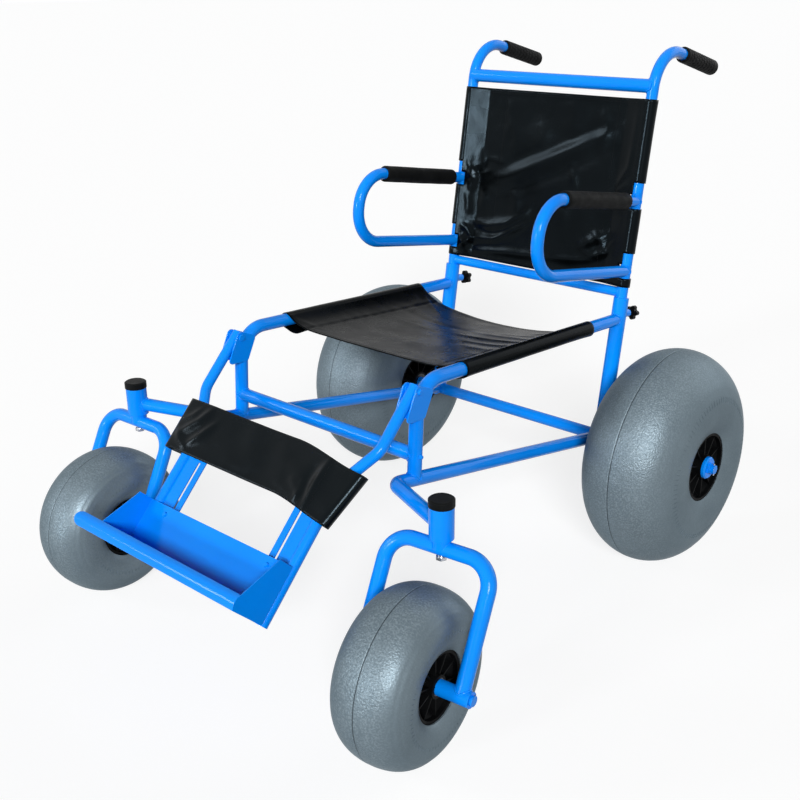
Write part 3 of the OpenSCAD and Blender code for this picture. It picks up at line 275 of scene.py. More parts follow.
PAINT = blue_paint()
SEAT_VINYL = black_vinyl("seat_vinyl", 0.04, 0.22, 0.34)
BACK_VINYL = black_vinyl("back_vinyl", 0.09, 0.15, 0.24)
STRAP_VINYL = black_vinyl("strap_vinyl", 0.12, 0.17, 0.26)
REAR_SKIN = tyre_skin("rear_tyre_skin", 0.088, 0.018)
CASTER_SKIN = tyre_skin("caster_tyre_skin", 0.050, 0.012)
HUB = moulded(
    "hub_plastic", (0.0022, 0.0024, 0.0028), (0.0048, 0.0052, 0.0056), 0.46, 800.0, 0.10,
    level=0.03, rub=0.12,
)
CAP = moulded("cap_plastic", (0.0035, 0.0040, 0.0042), (0.0070, 0.0076, 0.0080), 0.42, 700.0, 0.12)
KNOB = moulded("knob_plastic", (0.0024, 0.0026, 0.0030), (0.0052, 0.0056, 0.0060), 0.36, 900.0, 0.10)
RUBBER = moulded("grip_rubber", (0.0036, 0.0038, 0.0040), (0.0075, 0.0079, 0.0082), 0.58, 600.0, 0.2)
FOAM = foam()
STEEL = steel("zinc_steel", (0.60, 0.62, 0.65), (0.42, 0.43, 0.45))
DARK_STEEL = steel("dark_steel", (0.055, 0.058, 0.062), (0.030, 0.032, 0.035))
THREAD = thread()

# Finishes by the end of a node's name, and paint on all the others
FINISHES = {
    "split_pins": STEEL, "king_pin": STEEL, "bearings": DARK_STEEL,
    "_hub": HUB, "head_caps": CAP, "clamp_knob": KNOB,
}
for node_name, node in NODES.items():
    finish = next((finish for ending, finish in FINISHES.items() if node_name.endswith(ending)), PAINT)
    node.data.materials.clear()
    node.data.materials.append(finish)

# Mesh helpers


def new_object(name, data):
    made = bpy.data.objects.new(name, data)
    bpy.context.scene.collection.objects.link(made)
    return made


def mesh_object(name, points, faces, material, smooth=True):
    """A mesh object from points in millimetres."""
    mesh = bpy.data.meshes.new(name)
    mesh.from_pydata((np.asarray(points, float) * MM).tolist(), [], faces)
    mesh.validate()
    mesh.materials.append(material)
    if smooth:
        mesh.shade_smooth()
    return new_object(name, mesh)


def grid_faces(rows, cols, wrap=False, close=False):
    """Quads of a grid of points, joined round its columns if wrap and round its rows if close."""
    faces = []
    for j in range(rows if close else rows - 1):
        for i in range(cols if wrap else cols - 1):
            a, b = j * cols + i, j * cols + (i + 1) % cols
            c, d = ((j + 1) % rows) * cols + (i + 1) % cols, ((j + 1) % rows) * cols + i
            faces.append((a, d, c, b))
    return faces


def unit(v):
    return v / np.linalg.norm(v)


def frame_of(d):
    """Two unit vectors square to a unit vector and to each other."""
    helper = OUT if abs(d[0]) < 0.8 else np.array([0.0, 1.0, 0.0])
    u = unit(np.cross(d, helper))
    return u, np.cross(d, u)


def circle(u, v, steps):
    """Evenly spaced (angle, direction) pairs round a circle, from u by way of v."""
    angles = [2.0 * math.pi * k / steps for k in range(steps)]
    return [(a, math.cos(a) * u + math.sin(a) * v) for a in angles]


def lathe(profile, start, direction, steps, wave=None):
    """Points and faces of a closed profile of (radius, distance along) turned about a line.

    wave(radius, distance, angle) gives the radius to use at that place."""
    d = unit(direction)
    points = []
    for a, ray in circle(*frame_of(d), steps):
        for r, z in profile:
            points.append(start + z * d + (wave(r, z, a) if wave else r) * ray)
    return points, grid_faces(steps, len(profile), wrap=True, close=True)


def sweep(path, radii, sides=8):
    """Points and faces of a closed ring of round sections along a closed path."""
    points = []
    tangent = np.roll(path, -1, axis=0) - np.roll(path, 1, axis=0)
    tangent /= np.linalg.norm(tangent, axis=1)[:, None]
    middle = path.mean(axis=0)
    for p, t, r in zip(path, tangent, radii):
        u = p - middle
        u = unit(u - (u @ t) * t)
        points.extend(p + r * ray for _, ray in circle(u, np.cross(t, u), sides))
    return points, grid_faces(len(path), sides, wrap=True, close=True)


def gather(parts):
    """Several (points, faces) pairs as one."""
    points, faces = [], []
    for some_points, some_faces in parts:
        base = len(points)
        points.extend(some_points)
        faces.extend(tuple(i + base for i in face) for face in some_faces)
    return points, faces


def wobble(p, scale, seed=0.0):
    """Smooth repeatable noise between about -1 and 1 at a point in millimetres."""
    return noise.noise(Vector((p[0] / scale + seed, p[1] / scale - seed, p[2] / scale + 2.0 * seed)))


# Camera and stage, as the photograph was taken

CAMERA_PLACE = (1.4576, -1.70945, 1.2638)
CAMERA_AZIMUTH = math.radians(41.988)
CAMERA_HEIGHT = math.radians(21.562)
CAMERA_ROLL = math.radians(-0.646)
CAMERA_LENS = 48.39
CLIP_END = 200.0
LAMP_DISTANCE = 4.0
FLOOR_REACH = 60000.0
FLOOR_SEEN = (0.3, 0.3, 0.3)
FLOOR_GLOW = 0.78
FLOOR_LIT = (0.2, 0.2, 0.2)
SKY_LIGHT = 0.10
SKY_SEEN = 1.0


def towards(azimuth, height):
    """The direction from the chair at an azimuth from its front and a height, in radians."""
    level = math.cos(height)
    return Vector((math.sin(azimuth) * level, -math.cos(azimuth) * level, math.sin(height)))


def make_camera():
    """The photograph's camera, as solved from it."""
    back = towards(CAMERA_AZIMUTH, CAMERA_HEIGHT)
    right = Vector((math.cos(CAMERA_AZIMUTH), math.sin(CAMERA_AZIMUTH), 0.0))
    up = back.cross(right)
    c, s = math.cos(CAMERA_ROLL), math.sin(CAMERA_ROLL)
    axes = (c * right + s * up, c * up - s * right, back)
    data = bpy.data.cameras.new("camera")
    data.lens = CAMERA_LENS
    data.sensor_width = 36.0
    data.sensor_fit = "HORIZONTAL"
    data.clip_end = CLIP_END
    camera = new_object("camera", data)
    camera.matrix_world = Matrix.Translation(CAMERA_PLACE) @ Matrix(axes).transposed().to_4x4()
    bpy.context.scene.camera = camera


def far_lamp(name, azimuth, height, strength, spread, colour):
    """A soft lamp far off: azimuth from the chair's front, height and spread in degrees."""
    data = bpy.data.lights.new(name, "SUN")
    data.energy = strength
    data.angle = math.radians(spread)
    data.color = colour
    lamp = new_object(name, data)
    place = towards(math.radians(azimuth), math.radians(height))
    lamp.location = LAMP_DISTANCE * place
    lamp.rotation_mode = "QUATERNION"
    lamp.rotation_quaternion = (-place).to_track_quat("-Z", "Y")


def seen_rays(nodes):
    """1 for camera, glossy and transmission rays, 0 for the light that falls on things."""
    rays = nodes.add("LightPath").outputs
    seen = rays["Is Camera Ray"]
    for key in ("Is Glossy Ray", "Is Transmission Ray"):
        seen = nodes.math("MAXIMUM", seen, rays[key])
    return seen


def make_floor():
    """A floor that looks white and throws little light on the chair from below."""
    f = Finish("floor")
    f.tree.nodes.remove(f.shader)
    white = f.add("BsdfDiffuse", {"Color": FLOOR_SEEN})
    glow = f.add("Emission", {"Strength": FLOOR_GLOW})
    lit = f.add("AddShader", {0: white.outputs[0], 1: glow.outputs[0]})
    grey = f.add("BsdfDiffuse", {"Color": FLOOR_LIT})
    choice = f.add("MixShader", {0: seen_rays(f), 1: grey.outputs[0], 2: lit.outputs[0]})
    f.join(choice.outputs[0], f.tree.nodes["Material Output"].inputs["Surface"])
    r = FLOOR_REACH
    corners = [(-r, -r, 0), (r, -r, 0), (r, r, 0), (-r, r, 0)]
    mesh_object("floor", corners, [(0, 1, 2, 3)], f.material, smooth=False)


def make_light():
    """A white studio that looks bright and lights little, and the lamps that light the chair."""
    world = bpy.data.worlds.new("studio")
    bpy.context.scene.world = world
    world.use_nodes = True
    nodes = Nodes(world.node_tree)
    sky = nodes.tree.nodes["Background"]
    sky.inputs["Color"].default_value = (1.0, 1.0, 1.0, 1.0)
    nodes.join(nodes.ramp(seen_rays(nodes), 0.0, 1.0, SKY_LIGHT, SKY_SEEN), sky.inputs["Strength"])
    far_lamp("key", 42.0, 25.0, 2.8, 16.0, (1.0, 1.0, 1.0))
    far_lamp("side", -46.0, 21.0, 0.45, 12.0, (0.94, 0.97, 1.0))
    far_lamp("front", -9.5, 8.5, 1.2, 9.0, (0.90, 0.96, 1.0))
    far_lamp("back", 165.0, 20.0, 0.75, 50.0, (1.0, 1.0, 1.0))


bpy.context.scene.view_settings.view_transform = "Standard"
make_camera()
make_floor()
make_light()

# Cloth

COVER = 1.4
VINYL_T = 1.7
HEM_POWER = 9.0
FLAP_GAP = 2.4
PANEL_SHARES = 1.0 - (1.0 - np.linspace(0.0, 1.0, 54)[:-1]) ** 1.35
WRAP_SHARES = np.linspace(0.0, 1.0, 19)[:-1]
FLAP_SHARES = np.linspace(0.0, 1.0, 13)
PANEL_COLS = len(PANEL_SHARES)
STITCH_PITCH, STITCH_LENGTH, STITCH_R, STITCH_SIDES = 5.0, 3.4, 0.42, 6
STITCH_RINGS = ((0.0, 0.45, -0.3), (0.22, 1.0, 0.12), (0.78, 1.0, 0.12), (1.0, 0.45, -0.3))


def folded(x, v, folds):
    """Height of a set of folds at each point of a sheet, x across it and v along it, in millimetres.

    A fold is (points, width, height, sharp): a line along the sheet, the half width and height of
    its crest, and 2 for a soft round crest or about 1 for a creased one."""
    places = np.stack([x.ravel(), v.ravel()], axis=1)
    total = np.zeros(len(places))
    for points, width, height, sharp in folds:
        points = np.asarray(points, float)
        lengths = np.linalg.norm(np.diff(points, axis=0), axis=1)
        starts = np.concatenate([[0.0], np.cumsum(lengths)])
        best = np.full(len(places), 1e9)
        where = np.zeros(len(places))
        for a, b, l, s in zip(points[:-1], points[1:], lengths, starts):
            t = np.clip((places - a) @ (b - a) / (l * l), 0.0, 1.0)
            d = np.linalg.norm(places - a - t[:, None] * (b - a), axis=1)
            near = d < best
            best[near] = d[near]
            where[near] = (s + t * l)[near] / starts[-1]
        ends = np.sin(math.pi * np.clip(where, 0.02, 0.98)) ** 0.6
        total += height * ends * np.exp(-((best / (width * (0.6 + 0.4 * ends))) ** sharp))
    return total.reshape(x.shape)


def ripples(grid, *layers):
    """Smooth noise at each point of a grid, the sum of layers of (scale, seed, height)."""

    def at(p):
        return sum(height * wobble(p, scale, seed) for scale, seed, height in layers)

    return np.array([[at(p) for p in row] for row in grid])


def bell(x, width):
    return np.exp(-((x / width) ** 2))


def smooth_step(x, low, high):
    t = np.clip((x - low) / (high - low), 0.0, 1.0)
    return t * t * (3.0 - 2.0 * t)


def grid_normals(grid):
    """Unit normals of a grid of points, row by row."""
    across = np.gradient(grid, axis=1)
    down = np.gradient(grid, axis=0)
    normal = np.cross(across, down)
    return normal / np.linalg.norm(normal, axis=2)[:, :, None]


def sheet(name, grid, material, keep=None):
    """A closed sheet of vinyl about a middle surface, of all its quads or of those that keep says.

    Gives the object, the grid's normals and the area in square metres."""
    rows, cols = grid.shape[:2]
    if keep is None:
        keep = np.ones((rows - 1, cols - 1), bool)
    normal = grid_normals(grid)
    outer = (grid + normal * VINYL_T / 2).reshape(-1, 3)
    inner = (grid - normal * VINYL_T / 2).reshape(-1, 3)
    total = rows * cols
    faces, edges, area = [], {}, 0.0
    for j, i in np.argwhere(keep).tolist():
        quad = (j * cols + i, j * cols + i + 1, (j + 1) * cols + i + 1, (j + 1) * cols + i)
        faces.append(quad)
        faces.append(tuple(q + total for q in reversed(quad)))
        for a, b in zip(quad, quad[1:] + quad[:1]):
            if (b, a) in edges:
                del edges[(b, a)]
            else:
                edges[(a, b)] = True
        a, b, c, d = grid[j, i], grid[j, i + 1], grid[j + 1, i + 1], grid[j + 1, i]
        area += 0.5 * np.linalg.norm(np.cross(c - a, d - b))
    faces.extend((b, a, a + total, b + total) for a, b in edges)
    used = sorted({i for face in faces for i in face})
    place = {old: new for new, old in enumerate(used)}
    points = np.concatenate([outer, inner])[used]
    made = mesh_object(name, points, [tuple(place[i] for i in face) for face in faces], material)
    return made, normal, area * MM * MM


def part_way(s, run, values):
    """The value at each distance s along a line whose points lie at the distances run."""
    return np.array([np.interp(s, run, values[:, k]) for k in range(3)])


def stitches(name, lines, body):
    """Rows of short stitches on (points, normals) lines, each lying just proud of its sheet."""
    parts = []
    last = STITCH_SIDES * len(STITCH_RINGS) - 1
    ends = [tuple(range(STITCH_SIDES)), tuple(range(last, last - STITCH_SIDES, -1))]
    faces = grid_faces(len(STITCH_RINGS), STITCH_SIDES, wrap=True) + ends
    for points, normals in lines:
        steps = np.linalg.norm(np.diff(points, axis=0), axis=1)
        run = np.concatenate([[0.0], np.cumsum(steps)])
        for start in np.arange(2.0, run[-1] - STITCH_LENGTH - 1.0, STITCH_PITCH):
            first, n = part_way(start, run, points), unit(part_way(start, run, normals))
            d = part_way(start + STITCH_LENGTH, run, points) - first
            rays = circle(unit(np.cross(d, n)), n, STITCH_SIDES)
            stitch = []
            for share, size, lift in STITCH_RINGS:
                centre = first + share * d + lift * n
                stitch.extend(centre + size * STITCH_R * ray for _, ray in rays)
            parts.append((stitch, faces))
    made = mesh_object(name, *gather(parts), THREAD)
    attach(made, body)
    return made


def sleeve_section(r, sag, hem, seam, droop, flare):
    """Half a sling over its bar: [x, height] from the middle out, round the bar and back to the seam.

    hem is the part of the sag close to the bar, and droop and flare slacken the flap and the wrap."""
    lean = math.atan((2.0 * (sag - hem) + HEM_POWER * hem) / HALF_W)
    edge, top = HALF_W - r * math.sin(lean), r * math.cos(lean)

    def height(x):
        k = np.minimum(np.abs(x) / edge, 1.0)
        return top - hem * (1.0 - k ** HEM_POWER) - (sag - hem) * (1.0 - k * k)

    xs = PANEL_SHARES * edge
    points = [np.stack([xs, height(xs)], axis=1)]
    seam_x = HALF_W - seam
    seam_y = height(seam_x) - FLAP_GAP
    q = np.array([seam_x - HALF_W, seam_y])
    reach = np.linalg.norm(q)
    stop = math.atan2(q[1], q[0]) % (2.0 * math.pi) + math.acos(min(1.0, r / reach)) - 2.0 * math.pi
    angles = math.pi / 2 + lean + (stop - math.pi / 2 - lean) * WRAP_SHARES
    loose = r + flare * np.clip(-np.sin(angles), 0.0, 1.0)
    points.append(np.stack([HALF_W + loose * np.cos(angles), loose * np.sin(angles)], axis=1))
    start = points[-1][-1]
    line = start + FLAP_SHARES[:, None] * (np.array([seam_x, seam_y]) - start)
    line[:, 1] -= droop * np.sin(math.pi * FLAP_SHARES) ** 1.2
    points.append(line)
    return np.concatenate(points)


def full_section(right, left):
    """A whole section from its two halves, from the end on the chair's right to the end on its left."""
    return np.concatenate([right[:0:-1] * np.array([-1.0, 1.0]), left])


def sling_grid(rows, place, up, section_of):
    """Points of a sling whose section runs across x, at each row's place in side view."""
    grid = []
    for row in rows:
        half = section_of(row)
        p = place(row)
        grid.append([side(x, p + h * up) for x, h in full_section(half, half)])
    return np.array(grid)


def from_middle(count):
    """How many columns each of a sheet's columns lies from its middle one."""
    return np.abs(np.arange(count) - count // 2)


def sheet_places(grid, rows, panel_cols=PANEL_COLS):
    """The x and row of each point of a sheet's grid, and 1 on its open panel or 0 round its bars."""
    x = grid[:, :, 0]
    v = np.repeat(rows[:, None], grid.shape[1], axis=1)
    panel = (from_middle(grid.shape[1]) < panel_cols)[None, :] * np.ones_like(x)
    return x, v, panel


def with_flaps(lift, x):
    """The lift of a sling whose return flaps follow its panel, the more the nearer their seam."""
    cols = from_middle(x.shape[1])
    share = (cols - (PANEL_COLS + len(WRAP_SHARES))) / (len(FLAP_SHARES) - 1)
    panel, flap = cols < PANEL_COLS, share >= 0.0
    followed = lift.copy()
    for j, row in enumerate(lift):
        followed[j, flap] -= share[flap] * np.interp(x[j, flap], x[j, panel], row[panel])
    return followed


def stitch_line(grid, normal, where, facing):
    """A line of stitches at some points of a sheet, on its outer face, with the normals there."""
    n = normal[where] * facing
    return grid[where] + n * VINYL_T / 2, n


def sew(
    name, node, body, material, grid, lift, out, panel, seams, hem_row,
    keep=None, reach=np.inf,
):
    """A sling from its smooth grid: its sheet, lifted out, and stitches down its seams and along both hems.

    The hems' stitches run over the panel as far out as reach."""
    x = grid[:, :, 0]
    normal = grid_normals(grid)
    facing = np.sign(normal[grid.shape[0] // 2, grid.shape[1] // 2] @ along(out))
    grid = grid + normal * lift[:, :, None] * facing
    made, normal, area = sheet(f"{name}_cloth", grid, material, keep)
    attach(made, body)
    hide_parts(node)
    cols, rows = np.flatnonzero(panel[0]), np.arange(len(grid))
    places = [(rows, cols[np.abs(x[:, cols] - at).argmin(axis=1)]) for at in seams]
    places += [(j, (panel[j] > 0) & (np.abs(x[j]) < reach)) for j in (hem_row, rows[-1] - hem_row)]
    lines = [stitch_line(grid, normal, where, facing) for where in places]
    thread_rows = stitches(f"{name}_stitching", lines, body)


# Seat sling. The points of its folds, read from the photograph, are x and the way from its rear edge

SEAT_LENGTH, SEAT_START, SEAT_SEAM_IN = 449.0, 129.0, 64.0
SEAT_FOLDS = [
    ([(236, 150), (120, 168), (10, 176)], 11, 2.6, 1.7),
    ([(238, 128), (130, 118), (40, 124)], 9, 2.0, 1.6),
    ([(237, 190), (150, 214), (60, 220)], 12, 2.0, 1.8),
    ([(236, 250), (170, 262), (90, 258)], 14, 1.6, 1.8),
    ([(238, 96), (170, 84), (90, 92)], 8, 1.6, 1.6),
    ([(-170, 205), (-100, 190), (-20, 196)], 14, 1.3, 1.8),
    ([(-168, 130), (-90, 140), (20, 132)], 14, -1.4, 1.9),
    ([(-238, 10), (-190, 30), (-120, 70)], 9, 2.4, 1.5),
    ([(238, 8), (196, 36), (130, 66)], 9, 2.4, 1.5),
    ([(-238, 30), (-200, 60), (-160, 130)], 8, 1.6, 1.5),
    ([(-150, 300), (-60, 330), (60, 318)], 26, 1.2, 2.0),
    ([(-60, 262), (10, 300), (30, 380)], 20, 0.9, 2.0),
    ([(238, 440), (200, 420), (140, 400)], 10, 1.4, 1.6),
    ([(-238, 445), (-205, 425), (-150, 408)], 10, 1.4, 1.6),
    ([(-40, 210), (-10, 236), (10, 268)], 7, 1.0, 1.5),
]


def seat_section(v):
    """Half the seat's section, deepest at the rear and slack at both ends of its sleeves."""
    rear_sag, front_sag, hem_drop = 50.0, 24.0, 22.0
    k = v / SEAT_LENGTH
    end = math.exp(-v / 30.0) + math.exp(-(SEAT_LENGTH - v) / 30.0)
    sag = rear_sag + (front_sag - rear_sag) * k
    return sleeve_section(TUBE_R + COVER, sag, hem_drop, SEAT_SEAM_IN, 5.0 + 5.0 * end, 1.0 + 1.6 * end)


def seat_lift(grid, x, v, panel, seam_x):
    """How far the seat's vinyl stands up: folds, seams with their rucks, and hems."""
    waves = ripples(grid, (46.0, 3.1, 0.55), (19.0, 7.7, 0.18))
    inside = panel * smooth_step(HALF_W - np.abs(x), 10.0, 34.0)
    off_seam = np.abs(x) - seam_x
    groove = -1.5 * bell(off_seam, 2.8) * panel
    step = 0.7 * smooth_step(np.abs(x), seam_x - 3.0, seam_x + 1.0) * panel
    ruck = np.sin(v / 5.5 + 1.3 * np.sin(v / 37.0)) * bell(off_seam, 13.0) * 0.22 * panel
    outer = (1.0 - panel) * waves * 0.35
    lift = (folded(x, v, SEAT_FOLDS) + waves) * inside + groove + step + ruck + outer
    hems = smooth_step(v, 16.0, 13.0) + smooth_step(v, SEAT_LENGTH - 16.0, SEAT_LENGTH - 13.0)
    return lift + 0.5 * hems * panel


def seat_sling():
    """The seat's vinyl, laid over the two seat rails."""
    seam_x = HALF_W - SEAT_SEAM_IN
    rows = np.linspace(0.0, SEAT_LENGTH, 93)
    grid = sling_grid(rows, lambda v: SEAT_ROOT + (SEAT_START + v) * SEAT_FWD, SEAT_UP, seat_section)
    x, v, panel = sheet_places(grid, rows)
    sew(
        "seat", "seat_sling", "frame", SEAT_VINYL,
        grid, seat_lift(grid, x, v, panel, seam_x), SEAT_UP, panel, (-seam_x, seam_x), 2,
    )


# Back sling. The points of its folds, read from the photograph, are x and the way up the canes

BACK_TOP, BACK_BOTTOM, BACK_SAG, BACK_SEAM_IN = 770.0, 356.0, 14.0, 98.0
BACK_SEAMS = (-138.0, 172.0)
ARM_CUTS = ((533.0, 564.0, 590.0), (376.0, 407.0, 433.0))
BACK_FOLDS = [
    ([(-150, 549), (34, 633), (186, 702)], 24, 4.6, 1.8),
    ([(-130, 586), (40, 662), (150, 712)], 18, -2.4, 2.0),
    ([(-125, 520), (40, 596), (150, 650)], 20, -2.4, 2.0),
    ([(64, 618), (76, 590), (86, 558)], 9, 2.4, 1.2),
    ([(-240, 600), (-222, 577), (-212, 548), (-214, 512)], 8, 4.4, 1.4),
    ([(-192, 628), (-186, 600), (-192, 566)], 8, 3.2, 1.3),
    ([(-190, 607), (-158, 604), (-122, 599)], 5, 1.5, 1.1),
    ([(-242, 543), (-200, 559), (-156, 578)], 5, 1.7, 1.1),
    ([(-180, 530), (-172, 508), (-184, 484)], 13, 3.0, 1.6),
    ([(-236, 524), (-218, 500), (-214, 462)], 10, 2.4, 1.5),
    ([(-204, 452), (-155, 440), (-98, 454), (-46, 486), (-32, 506)], 12, 4.8, 1.4),
    ([(-190, 428), (-130, 424), (-80, 438)], 11, -2.6, 1.8),
    ([(-252, 362), (-194, 405), (-134, 411), (-75, 440), (-20, 470)], 9, 4.0, 1.3),
    ([(-250, 442), (-214, 428), (-194, 408), (-226, 382)], 7, 3.6, 1.2),
    ([(-248, 410), (-226, 396), (-206, 372)], 7, 3.0, 1.2),
    ([(-236, 372), (-170, 374), (-90, 384), (44, 391)], 11, 3.4, 1.6),
    ([(110, 424), (158, 452), (200, 474)], 16, 4.2, 1.6),
    ([(124, 420), (150, 412), (204, 430)], 7, 2.6, 1.2),
    ([(150, 470), (176, 444), (184, 420)], 8, 2.6, 1.3),
    ([(206, 450), (190, 424), (160, 408)], 6, 2.0, 1.2),
    ([(44, 391), (100, 396), (160, 404)], 10, 3.0, 1.5),
    ([(226, 748), (230, 680), (222, 620), (184, 566)], 10, 2.6, 1.5),
    ([(236, 590), (200, 566), (190, 520)], 9, 2.4, 1.4),
    ([(-120, 700), (-96, 660), (-108, 628)], 9, 1.7, 1.4),
    ([(-128, 742), (-122, 690), (-134, 640)], 8, 1.4, 1.4),
    ([(40, 756), (60, 716), (40, 670)], 22, 1.6, 2.0),
    ([(-30, 704), (-20, 670), (-34, 640)], 24, 1.8, 2.0),
    ([(10, 520), (60, 500), (70, 470)], 16, 2.2, 1.8),
    ([(-90, 540), (-76, 510), (-84, 470)], 16, 2.2, 1.8),
    ([(128, 742), (150, 700), (140, 650)], 13, 1.8, 1.6),
]
# Crumples at the armrests: x, the way up the canes, half width, half height and depth
BACK_CRUMPLES = ((-214, 572, 40, 26, 3.2), (-214, 404, 44, 34, 3.4), (166, 436, 46, 24, 2.2))


def back_rows():
    """The back's rows, from the top down, with one on each edge of its cut-outs."""
    marks = [BACK_TOP, *sorted((l for cut in ARM_CUTS for l in cut), reverse=True), BACK_BOTTOM]
    rows = []
    for a, b in zip(marks[:-1], marks[1:]):
        count = max(4, int(round((a - b) / 4.6)))
        rows.extend(np.linspace(a, b, count + 1)[:-1])
    return np.array(rows + [BACK_BOTTOM])


def back_section(l):
    """Half the back's section, slack at the upper end of its sleeves."""
    end = math.exp(-(BACK_TOP - l) / 24.0)
    return sleeve_section(CANE_R + COVER, BACK_SAG, 0.0, BACK_SEAM_IN, 3.0 + 3.0 * end, 0.8 + 1.2 * end)


def back_lift(grid, x, v, panel):
    """How far the back's vinyl stands forward: folds, crumples, seams and hems on a panel pulled flat."""
    waves = ripples(grid, (58.0, 5.3, 0.9), (24.0, 1.9, 0.3))
    crumpled = np.zeros_like(x)
    for at_x, at_l, wide, tall, deep in BACK_CRUMPLES:
        crumpled += deep * np.exp(-(((x - at_x) / wide) ** 2) - ((v - at_l) / tall) ** 2)
    height = folded(x, v, BACK_FOLDS) + crumpled * ripples(grid, (21.0, 8.7, 1.0))
    inside = panel * smooth_step(HALF_W - np.abs(x), 10.0, 30.0)
    crease = HALF_W - 58.0
    edge = HALF_W - CANE_R * 0.5
    taut = np.clip((edge - np.abs(x)) / (edge - crease), 0.0, 1.0)
    pan = (BACK_SAG * (1.0 - (np.abs(x) / edge) ** 2) - (BACK_SAG + 1.0) * taut) * panel
    off_seam = np.minimum(np.abs(x - BACK_SEAMS[0]), np.abs(x - BACK_SEAMS[1]))
    groove = -0.25 * bell(off_seam, 3.2) * panel * (x < 0.0)
    ruck = np.sin(v / 5.0 + 1.7 * np.sin(v / 41.0)) * bell(off_seam, 14.0) * 0.12 * panel
    outer = (1.0 - panel) * waves * 0.3
    lift = (height + waves) * inside + pan + groove + ruck + outer
    hems = smooth_step(v, BACK_TOP - 14.0, BACK_TOP - 11.0)
    hems += smooth_step(v, BACK_BOTTOM + 14.0, BACK_BOTTOM + 11.0)
    return with_flaps(lift + 0.5 * hems * panel, x)


def beside_arms(rows, x):
    """The quads of the back that stay where its sleeves are cut out round the armrests."""
    middle_row = (rows[:-1] + rows[1:]) / 2
    centre_x = (np.abs(x[:-1, :-1]) + np.abs(x[:-1, 1:])) / 2
    quads = x.shape[1] - 1
    cols = np.abs(np.arange(quads) + 0.5 - quads // 2)
    round_bar = (cols > PANEL_COLS)[None, :] & (centre_x > HALF_W - 2.2 * CANE_R)
    keep = np.ones(centre_x.shape, bool)
    for low, arm_top, high in ARM_CUTS:
        at_arm = (middle_row > low) & (middle_row < arm_top)
        above = (middle_row > arm_top) & (middle_row < high)
        keep &= ~(at_arm[:, None] & (round_bar | (centre_x > HALF_W - ARM_R - 0.6)))
        keep &= ~(above[:, None] & (round_bar | (centre_x > HALF_W - 4.0)))
    return keep


def back_sling():
    """The back's vinyl, stretched on the two canes."""
    rows = back_rows()
    grid = sling_grid(rows, on_back, BACK_FWD, back_section)
    x, v, panel = sheet_places(grid, rows)
    sew(
        "back", "back_sling", "backrest", BACK_VINYL,
        grid, back_lift(grid, x, v, panel), BACK_FWD, panel, BACK_SEAMS, 2,
        beside_arms(rows, x), HALF_W - 22.0,
    )


# Calf strap. The points of its folds, read from the photograph, are x and the way from its top

STRAP_START, STRAP_LENGTH, STRAP_SLIP, STRAP_SAG, STRAP_TAIL = 161.0, 113.0, 22.0, 8.0, 30.0
STRAP_RIGHT, STRAP_LEFT_TOP, STRAP_LEFT_LOW = 260.0, 250.0, 222.0
SLIP_FULL_X = 251.0
CRANK_TOP, CRANK_LOW, TUBE_LOW_X = 128.0, 218.0, 196.0
STRAP_SEAMS = (-182.0, 170.0)
STRAP_SHARES = np.linspace(0.0, 1.0, 53)[:-1]
BEND_SHARES = np.linspace(0.0, 1.0, 15)[:-1]
TAIL_SHARES = np.linspace(0.0, 1.0, 6)
STRAP_FOLDS = [
    ([(-176, 4), (-196, 40), (-236, 78)], 13, 6.4, 1.5),
    ([(-150, 30), (-172, 66), (-200, 96)], 10, 5.4, 1.4),
    ([(-246, 66), (-226, 88), (-196, 104)], 8, 4.0, 1.3),
    ([(-206, 10), (-222, 34), (-246, 52)], 9, 3.6, 1.4),
    ([(-60, 8), (-40, 50), (-10, 100)], 30, 2.2, 2.0),
    ([(-110, 70), (-70, 90), (-20, 98)], 20, 1.8, 1.9),
    ([(164, 0), (160, 50), (158, 112)], 10, 6.2, 1.3),
    ([(142, 20), (136, 60), (142, 108)], 12, -3.2, 1.8),
    ([(124, 62), (134, 84), (128, 110)], 8, 3.8, 1.3),
    ([(90, 70), (120, 84), (150, 104)], 11, 3.4, 1.4),
    ([(70, 50), (100, 58), (132, 66)], 10, 1.6, 1.5),
    ([(60, 92), (100, 98), (134, 108)], 9, 1.8, 1.4),
    ([(30, 10), (60, 50), (72, 100)], 26, 1.4, 2.0),
]


def strap_section(w):
    """Half the strap's section: [x, height] over a tube, round at x = w and back under it."""
    r = LEGREST_R + COVER
    xs = STRAP_SHARES * (w - r)
    k = np.minimum(1.0, xs / (TUBE_LOW_X - LEGREST_R))
    flat = np.stack([xs, r - STRAP_SAG * (1.0 - k * k) ** 2], axis=1)
    a = math.pi / 2 - math.pi * BEND_SHARES
    turn = np.stack([w - r + r * np.cos(a), r * np.sin(a)], axis=1)
    tail = np.stack([w - r - STRAP_TAIL * TAIL_SHARES, np.full(len(TAIL_SHARES), -r)], axis=1)
    return np.concatenate([flat, turn, tail])


def strap_grid(shares):
    """Points of the strap, its left end slipped down its tube and slanting in."""
    right = strap_section(STRAP_RIGHT)
    grid = []
    for k in shares:
        left = strap_section(STRAP_LEFT_TOP + (STRAP_LEFT_LOW - STRAP_LEFT_TOP) * k)
        row = []
        for x, o in full_section(right, left):
            t = min(1.0, max(0.0, (x / SLIP_FULL_X - 0.25) / 0.75))
            s = STRAP_START + STRAP_SLIP * t * t * (3.0 - 2.0 * t) + STRAP_LENGTH * k
            row.append(side(x, on_legrest(s, o)))
        grid.append(row)
    return np.array(grid)


